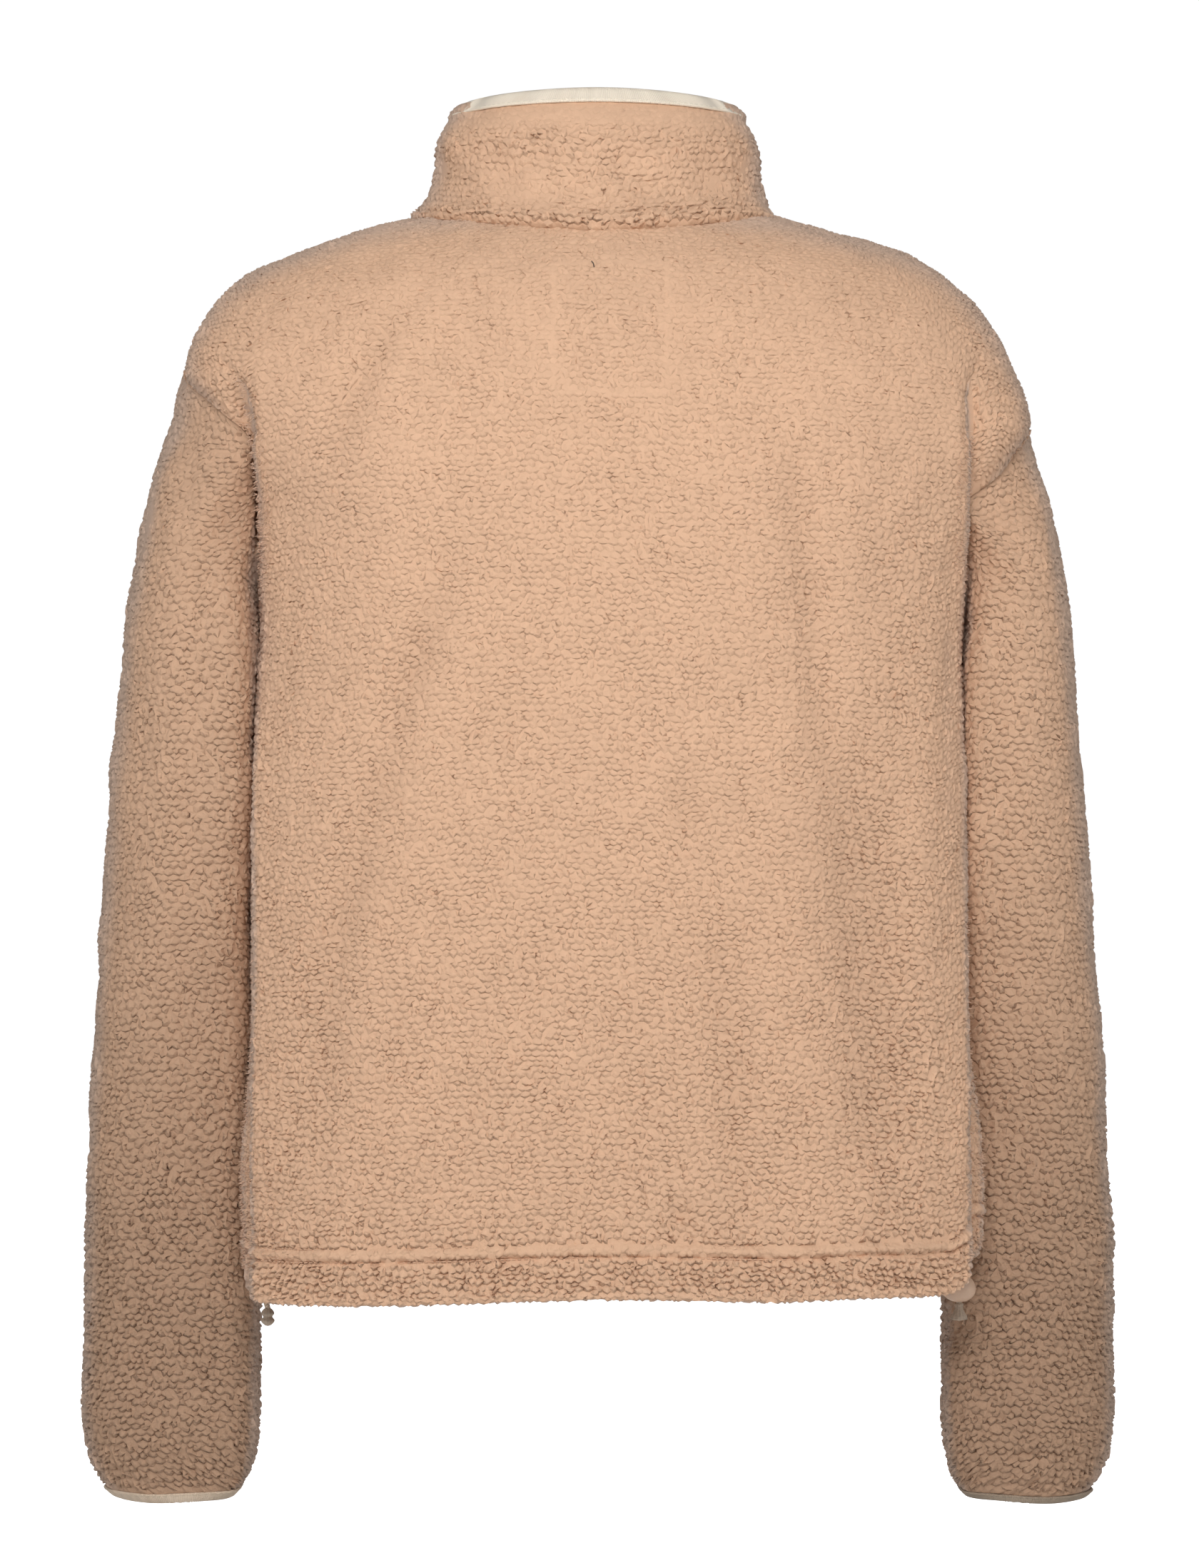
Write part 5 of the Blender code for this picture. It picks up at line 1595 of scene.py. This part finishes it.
class PULLOVER_OT_collar(bpy.types.Operator):
    """Dress the collar in fuller pile"""

    bl_idname = "pullover.collar"
    bl_label = "Collar"

    def execute(self, context):
        size = context.scene.pullover
        cloth, _ = collar_cloth()
        runs, inside = tube_runs(cloth, 0.0, cloth.b[-1])
        pile = pile_of(size, 1.12, 120, 2.2, 0.3, 7.0, collar_pile, collar_shape, no_lines)
        collar = worn_wall(
            "fleece_collar", cloth, runs, inside, pile, lambda b: COLLAR_WALL + 0 * b, body_fleece(context), True
        )
        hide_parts("collar")
        return {"FINISHED"}


def tinted(colour, factors):
    """A colour with each channel multiplied by its own factor."""
    return tuple(v * k for v, k in zip(colour, factors))


class PULLOVER_OT_bindings(bpy.types.Operator):
    """Fold ribbed tape over the collar's and the cuffs' edges and sew it down"""

    bl_idname = "pullover.bindings"
    bl_label = "Bindings"

    def execute(self, context):
        size = context.scene.pullover
        # Painted light and shade: the collar's tape is a lightened copy of the cream and the cuffs' tapes darkened
        # copies, the right one much darker.
        tapes = {
            "collar": tape_material("collar_tape", tuple(min(1.0, 1.12 * v) for v in size.cream)),
            "cuff_left": tape_material("left_cuff_tape", tinted(size.cream, (0.82, 0.74, 0.68))),
            "cuff_right": tape_material("right_cuff_tape", tinted(size.cream, (0.42, 0.37, 0.33))),
        }  # fmt: skip
        edges = [
            ("collar", collar_cloth()[0], TAPE_LOW, 6.0, COLLAR_WALL, 2.4, 0.4),
            ("cuff_left", sleeve_cloth(1), CUFF_TURN, 0.0, WALL, 2.4, 0.3),
            ("cuff_right", sleeve_cloth(-1), 0.8 * CUFF_TURN, 0.0, WALL, 1.2, 0.3),
        ]  # fmt: skip
        for word, cloth, low, high, wall, crown, proud in edges:
            node = "collar_binding" if word == "collar" else word.replace("cuff_", "cuff_binding_")
            band = tube_band(word + "_tape", cloth, low, high, wall, tapes[word], crown, proud)
            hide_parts(node)
            a = np.linspace(cloth.a[0], cloth.a[-1], 500)
            b = np.full(500, low + (high - low) * 0.16)
            line = cloth.sample(cloth.points, a, b)
            line = line + unit(cloth.sample(cloth.outward, a, b)) * (proud + 0.12)
            points, aims = spaced(line, 3.2)
            # Each stitch thread takes its tape's colour, painted light and shade included.
            shade = tapes[word].node_tree.nodes["Principled BSDF"].inputs["Base Color"].default_value
            thread = thread_material(word + "_thread", tuple(0.85 * v for v in shade[:3]))
            stitch = stitch_shape(2.2, 0.55, thread)
            if word == "collar":
                shown = np.abs(points[:, 0]) < 66
                points, aims = points[shown], aims[shown]
            sewn = repeated(word + "_stitches", points, aims, stitch, thread, 0.9, 1.1, 0.06, size.seed)
            bpy.data.objects.remove(stitch)
        return {"FINISHED"}


class PULLOVER_OT_stitching(bpy.types.Operator):
    """Sew the hem's twin rows and the flat seams round the armholes"""

    bl_idname = "pullover.stitching"
    bl_label = "Stitching"

    def execute(self, context):
        size = context.scene.pullover
        thread = thread_material("fleece_thread", tuple(v * 0.88 for v in size.fleece))
        stitch = stitch_shape(2.3, 0.7, thread)
        angles = np.linspace(0, 2 * math.pi, 1500)
        points, aims = [], []
        for line in HEM_LINES:
            row = on_body_line(angles, np.full(1500, line), -2.3)
            at, aim = spaced(row, 3.0)
            points.append(at)
            aims.append(aim)
        hem = repeated("hem_stitches", np.concatenate(points), np.concatenate(aims), stitch, thread, 0.85, 1.1, 0.12)
        for side, word in ((1, "left"), (-1, "right")):
            points, aims = [], []
            level = np.linspace(UNDERARM_LEVEL + 2, SHOULDER_LEVEL - 2, 300)
            for facing in (1, -1):
                angle = edge_angle(side, facing, level)
                edge = on_body_line(angle, level, 0.0)
                edge = edge - normals(body, angle, level) * (0.4 + shoulder_point(edge))[:, None]
                inward = unit(on_body_line(angle + side * facing * 0.03, level, 0.0) - edge)
                lift = normals(body, angle, level)
                for off, up in ((1.3, 0.0), (ARMHOLE_SEAM, -0.5)):
                    at, aim = spaced(edge + inward * off + lift * up, 3.0)
                    points.append(at)
                    aims.append(aim)
                at, aim = spaced(edge + inward * 2.9 - lift * 0.25, 2.4)
                nearest = [np.argmin(np.linalg.norm(edge - p, axis=1)) for p in at]
                points.append(at)
                aims.append(unit(inward[nearest] + 0.25 * aim))
            name = "armhole_stitches_" + word
            sewn = repeated(name, np.concatenate(points), np.concatenate(aims), stitch, thread, 0.85, 1.1, 0.1)
        bpy.data.objects.remove(stitch)
        dark = thread_material("thread_end", (0.10, 0.07, 0.05))
        stitch = stitch_shape(2.2, 0.6, dark)
        at, lift = back_place(3.6, -35.6)
        points = np.array([at + lift * 0.7, at + lift * 0.9 + [-0.6, 0, -1.6]])
        tail = repeated("tack_thread_end", points, unit(np.array([[0.5, 0.1, 0.6], [0.1, 0.1, 0.9]])), stitch, dark)
        bpy.data.objects.remove(stitch)
        return {"FINISHED"}


def back_place(x, z):
    """The place on the back at x and z, and its outward normal."""
    angle, level = np.meshgrid(np.radians(np.linspace(75, 105, 300)), np.linspace(440, NECK_LEVEL, 400))
    at = body(angle, level)
    k = np.argmin((at[..., 0] - x) ** 2 + (at[..., 2] - z) ** 2)
    return at.reshape(-1, 3)[k], normals(body, angle.ravel()[k : k + 1], level.ravel()[k : k + 1])[0]


def fold_places(side, rng, count):
    """Places along the lip of the fold behind an armpit."""
    turn = rng.uniform(math.radians(8), math.radians(48), 12000)
    angle = turn if side > 0 else math.pi - turn
    level = rng.uniform(330, SHOULDER_LEVEL, len(angle))
    bare = bare_body(angle, level)
    line = ease(FOLD["z"], FOLD["left_x" if side > 0 else "right_x"], bare[:, 2])
    out = np.abs(bare[:, 0]) - line
    good = (out > -7) & (out < 0.5) & (bare[:, 2] < -92) & (bare[:, 2] > -200)
    good &= side * (angle - edge_angle(side, 1, level)) > 0.02
    chosen = np.flatnonzero(good)[:count]
    return angle[chosen], level[chosen]


class PULLOVER_OT_nap(bpy.types.Operator):
    """Brush loose pile out along the body's edges"""

    bl_idname = "pullover.nap"
    bl_label = "Nap"

    def execute(self, context):
        size = context.scene.pullover
        colour = tuple(0.75 * f + 0.25 * e for f, e in zip(size.fleece, size.edge))
        nap = ready("loose_nap", lambda: nap_material(colour))
        tuft = lathe("tuft_shape", [(0, -0.4), (0.30, 0.0), (0.24, 0.9), (0.11, 1.7), (0, 2.2)], 4, nap, 0.6)
        rng = np.random.default_rng(size.seed + 7)
        for side, word in ((1, "left"), (-1, "right")):
            level = np.r_[rng.uniform(16, 345, 2000), rng.uniform(16, 80, 500)]
            spread = np.r_[rng.uniform(-6, 15, 2500), rng.normal(0, 0.5, 900)]
            level = np.r_[level, rng.uniform(14, 345, 900)]
            angle = seam_angle(side, level) + side * np.radians(spread)
            fold_angle, fold_level = fold_places(side, rng, 420)
            angle, level = np.r_[angle, fold_angle], np.r_[level, fold_level]
            points = on_body_line(angle, level, -0.3)
            aims = normals(body, angle, level) + rng.normal(0, 0.25, points.shape) + [0, 0, -0.25]
            fringe = repeated("edge_nap_" + word, points, unit(aims), tuft, nap, 0.5, 1.15, 0.35, size.seed)
        bpy.data.objects.remove(tuft)
        return {"FINISHED"}


def cord_row(side):
    return next(dict(zip(CORD_COLUMNS, row)) for row in CORDS if row[0] == side)


def cord_point(side, along):
    """The middle of a cord, so far down its free length."""
    row = cord_row(side)
    angle, level = np.array([seam_angle(side, 0.0)]), np.array([CORD_TOP])
    outward = unit(normals(body, angle, level) * [1, 1, 0])[0]
    inside = HEM_WALL + CORD / 2 + CORD_GAP + row["inset"] * ramp(along, 0, CORD_SETTLE)
    swing = row["swing"] * (along / row["length"]) ** 2
    start = body(angle, level)[0] - [0, 0, hem_tuck(angle, level)[0]]
    return start - outward * inside + [-side * swing, 0, -along]


def turned_body(name, place, profile, sides, material, ripple=0.0, folds=9):
    """A closed body about an upright axis at a place, from (radius, height) points."""
    t = 2 * math.pi * np.arange(sides) / sides
    pleat = 1 + ripple * np.cos(folds * t)
    rings = [
        place + np.stack([r * pleat * np.cos(t), r * pleat * np.sin(t), z + 0 * t], axis=-1) for r, z in profile
    ]
    return ring_body(name, np.array(rings), material)


class PULLOVER_OT_drawcords(bpy.types.Operator):
    """Hang the braided cord ends, with their knots, inside the hem"""

    bl_idname = "pullover.drawcords"
    bl_label = "Drawcords"

    def execute(self, context):
        braid = ready("braided_cord", lambda: braid_material(tuple(context.scene.pullover.cord)))
        for side, word in ((1, "left"), (-1, "right")):
            length = cord_row(side)["length"]
            path = np.array([cord_point(side, d) for d in np.linspace(0, length, 27)])
            turn = 2 * math.pi * np.arange(20) / 20
            rings = []
            for i, middle in enumerate(path):
                strand = CORD / 2 * (1 - 0.06 * np.cos(5 * turn + 1.1 * i) * np.cos(5 * turn - 1.1 * i))
                rings.append(middle + np.stack([strand * np.cos(turn), strand * np.sin(turn), 0 * turn], axis=-1))
            rings = [path[:1] + 0 * rings[0]] + rings + [path[-1:] + 0 * rings[0]]
            cord = closed_stack("cord_" + word, np.array(rings), braid)
            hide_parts("drawcord_" + word)
            end = path[-1]
            if side > 0:
                heights = np.linspace(0, 1, 26)
                waist = 1 - 0.42 * np.exp(-(((heights - 0.5) / 0.13) ** 2))
                radius = 4.0 * np.sqrt(np.maximum(np.sin(math.pi * heights), 0)) * waist
                knot = turned_stack("knot_left", end + [0, 0, 0.4], radius, -9.8 * heights, braid, 0.05)
            else:
                heights = np.linspace(0, 1, 26)
                radius = np.interp(heights, (0, 0.08, 0.25, 0.4, 0.75, 0.93, 1), (0.6, 2.3, 2.0, 2.3, 4.0, 4.3, 0.3))
                knot = turned_stack("knot_right", end + [0, 0, 0.4], radius, -9.6 * heights, braid, 0.09)
            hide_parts("drawcord_knot_" + word)
        return {"FINISHED"}


def closed_stack(name, rings, material):
    """A closed body from stacked rings whose first and last fall to a point."""
    rows, sides = rings.shape[:2]
    points = np.concatenate([rings[0, :1], rings[1:-1].reshape(-1, 3), rings[-1, :1]])
    faces, uvs = [], []
    last = len(points) - 1
    for i in range(sides):
        k = (i + 1) % sides
        top, bottom = 1, 1 + (rows - 3) * sides
        faces += [(0, top + i, top + k), (last, bottom + k, bottom + i)]
        uvs += [(i, 0), (i, 0.5), (i + 1, 0.5), (i, rows), (i + 1, rows - 1), (i, rows - 1)]
        for r in range(rows - 3):
            low, high = 1 + r * sides, 1 + (r + 1) * sides
            faces += [(low + i, high + i, high + k), (low + i, high + k, low + k)]
            uvs += [(i, r), (i, r + 1), (i + 1, r + 1), (i, r), (i + 1, r + 1), (i + 1, r)]
    thing = new_mesh(name, points, faces, material, np.array(uvs, float) * [0.47, 1.25])
    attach(thing, "root")
    return thing


def turned_stack(name, place, radius, height, material, ripple):
    """A closed, slightly pleated body about an upright axis."""
    sides = 24
    turn = 2 * math.pi * np.arange(sides) / sides
    rings = []
    for i, (r, z) in enumerate(zip(radius, height)):
        r = r * (1 + ripple * np.cos(8 * turn + 0.35 * i))
        rings.append(place + np.stack([r * np.cos(turn), r * np.sin(turn), z + 0 * turn], axis=-1))
    low, high = (np.repeat(ring.mean(axis=0)[None], sides, axis=0) for ring in (rings[0], rings[-1]))
    rings = [low] + rings + [high]
    return closed_stack(name, np.array(rings), material)


class PULLOVER_OT_toggle(bpy.types.Operator):
    """Thread the egg-shaped toggle on the right cord"""

    bl_idname = "pullover.toggle"
    bl_label = "Toggle"

    def execute(self, context):
        plastic = ready("moulded_toggle", lambda: toggle_material(tuple(context.scene.pullover.toggle)))
        middle = cord_point(-1, CORD_SETTLE)
        bore = CORD / 2 + SEAM_GAP
        rim = math.asin(bore / TOGGLE_RADIUS)
        half = TOGGLE_HEIGHT / 2
        profile = [(bore, half * math.cos(rim)), (bore, 0.0), (bore, -half * math.cos(rim))]
        for lean in np.linspace(math.pi - rim, rim, 34)[1:-1]:
            egg = 1 - TOGGLE_TAPER * math.cos(lean)
            parting = 0.12 * math.exp(-(((lean - math.pi / 2) / 0.05) ** 2))
            profile.append((TOGGLE_RADIUS * math.sin(lean) * egg + parting, half * math.cos(lean)))
        place = np.array([middle[0], middle[1], TOGGLE_TOP - half])
        toggle = turned_body("egg_toggle", place, profile, 48, plastic)
        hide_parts("cord_toggle")
        return {"FINISHED"}


class PULLOVER_OT_stage(bpy.types.Operator):
    """Set the camera, the lights, the floor and the backdrop"""

    bl_idname = "pullover.stage"
    bl_label = "Stage"

    def execute(self, context):
        camera = bpy.data.objects.new("camera", bpy.data.cameras.new("camera"))
        camera.data.sensor_fit = "VERTICAL"
        camera.data.sensor_height = 36
        camera.data.sensor_width = 36
        camera.data.lens = 107.8
        camera.location = (0, 2.5, -0.303)
        camera.rotation_euler = (math.radians(90), 0, math.radians(180))
        context.collection.objects.link(camera)
        context.scene.camera = camera
        lights = (
            ("key", (0.06, 1.65, 0.38), (0, 0, -0.3), 0.7, 0.5, 18.0),
            ("fill_left", (2.3, 1.4, 0.1), (0, 0, -0.3), 1.0, 1.4, 10),
            ("fill_right", (-2.3, 1.4, 0.1), (0, 0, -0.3), 1.0, 1.4, 10),
            ("far_fill", (0, -2.4, 0.3), (0, 0, -0.3), 2.0, 1.6, 14),
        )
        for name, place, aim, wide, tall, power in lights:
            lamp = bpy.data.lights.new(name, "AREA")
            lamp.shape = "RECTANGLE"
            lamp.size, lamp.size_y, lamp.energy = wide, tall, power
            thing = bpy.data.objects.new(name, lamp)
            thing.location = place
            thing.visible_camera = False
            thing.rotation_euler = (Vector(aim) - Vector(place)).to_track_quat("-Z", "Y").to_euler()
            context.collection.objects.link(thing)
        world = bpy.data.worlds.new("studio")
        world.use_nodes = True
        tree = world.node_tree
        light = tree.nodes["Background"]
        light.inputs["Color"].default_value = (1, 1, 1, 1)
        seen = new_node(tree, "ShaderNodeLightPath")
        link(tree, maths(tree, "MULTIPLY_ADD", seen.outputs["Is Camera Ray"], 0.75, 0.27), light.inputs["Strength"])
        context.scene.world = world
        context.scene.view_settings.view_transform = "Standard"
        floor_material = floor_finish()
        points = np.array([[-6, -6, -0.9], [6, -6, -0.9], [6, 6, -0.9], [-6, 6, -0.9]]) * 1000
        floor = new_mesh("floor", points, [[0, 1, 2, 3]], floor_material)
        return {"FINISHED"}


class PULLOVER_PT_panel(bpy.types.Panel):
    """The pullover's pieces and sizes"""

    bl_idname = "PULLOVER_PT_panel"
    bl_label = "Pullover"
    bl_space_type = "VIEW_3D"
    bl_region_type = "UI"
    bl_category = "Pullover"

    def draw(self, context):
        for name in PulloverSizes.__annotations__:
            self.layout.prop(context.scene.pullover, name)
        for step in STEPS:
            self.layout.operator("pullover." + step)


STEPS = ("stage", "drawcords", "toggle", "back", "front", "sleeves", "collar", "bindings", "stitching", "nap")
CLASSES = (
    PulloverSizes, PULLOVER_OT_stage, PULLOVER_OT_drawcords, PULLOVER_OT_toggle, PULLOVER_OT_back,
    PULLOVER_OT_front, PULLOVER_OT_sleeves, PULLOVER_OT_collar, PULLOVER_OT_bindings,
    PULLOVER_OT_stitching, PULLOVER_OT_nap, PULLOVER_PT_panel,
)  # fmt: skip


def register():
    for each in CLASSES:
        bpy.utils.register_class(each)
    bpy.types.Scene.pullover = PointerProperty(type=PulloverSizes)


def unregister():
    del bpy.types.Scene.pullover
    for each in reversed(CLASSES):
        bpy.utils.unregister_class(each)


def main():
    register()
    for step in STEPS:
        getattr(bpy.ops.pullover, step)()


if __name__ == "__main__":
    main()
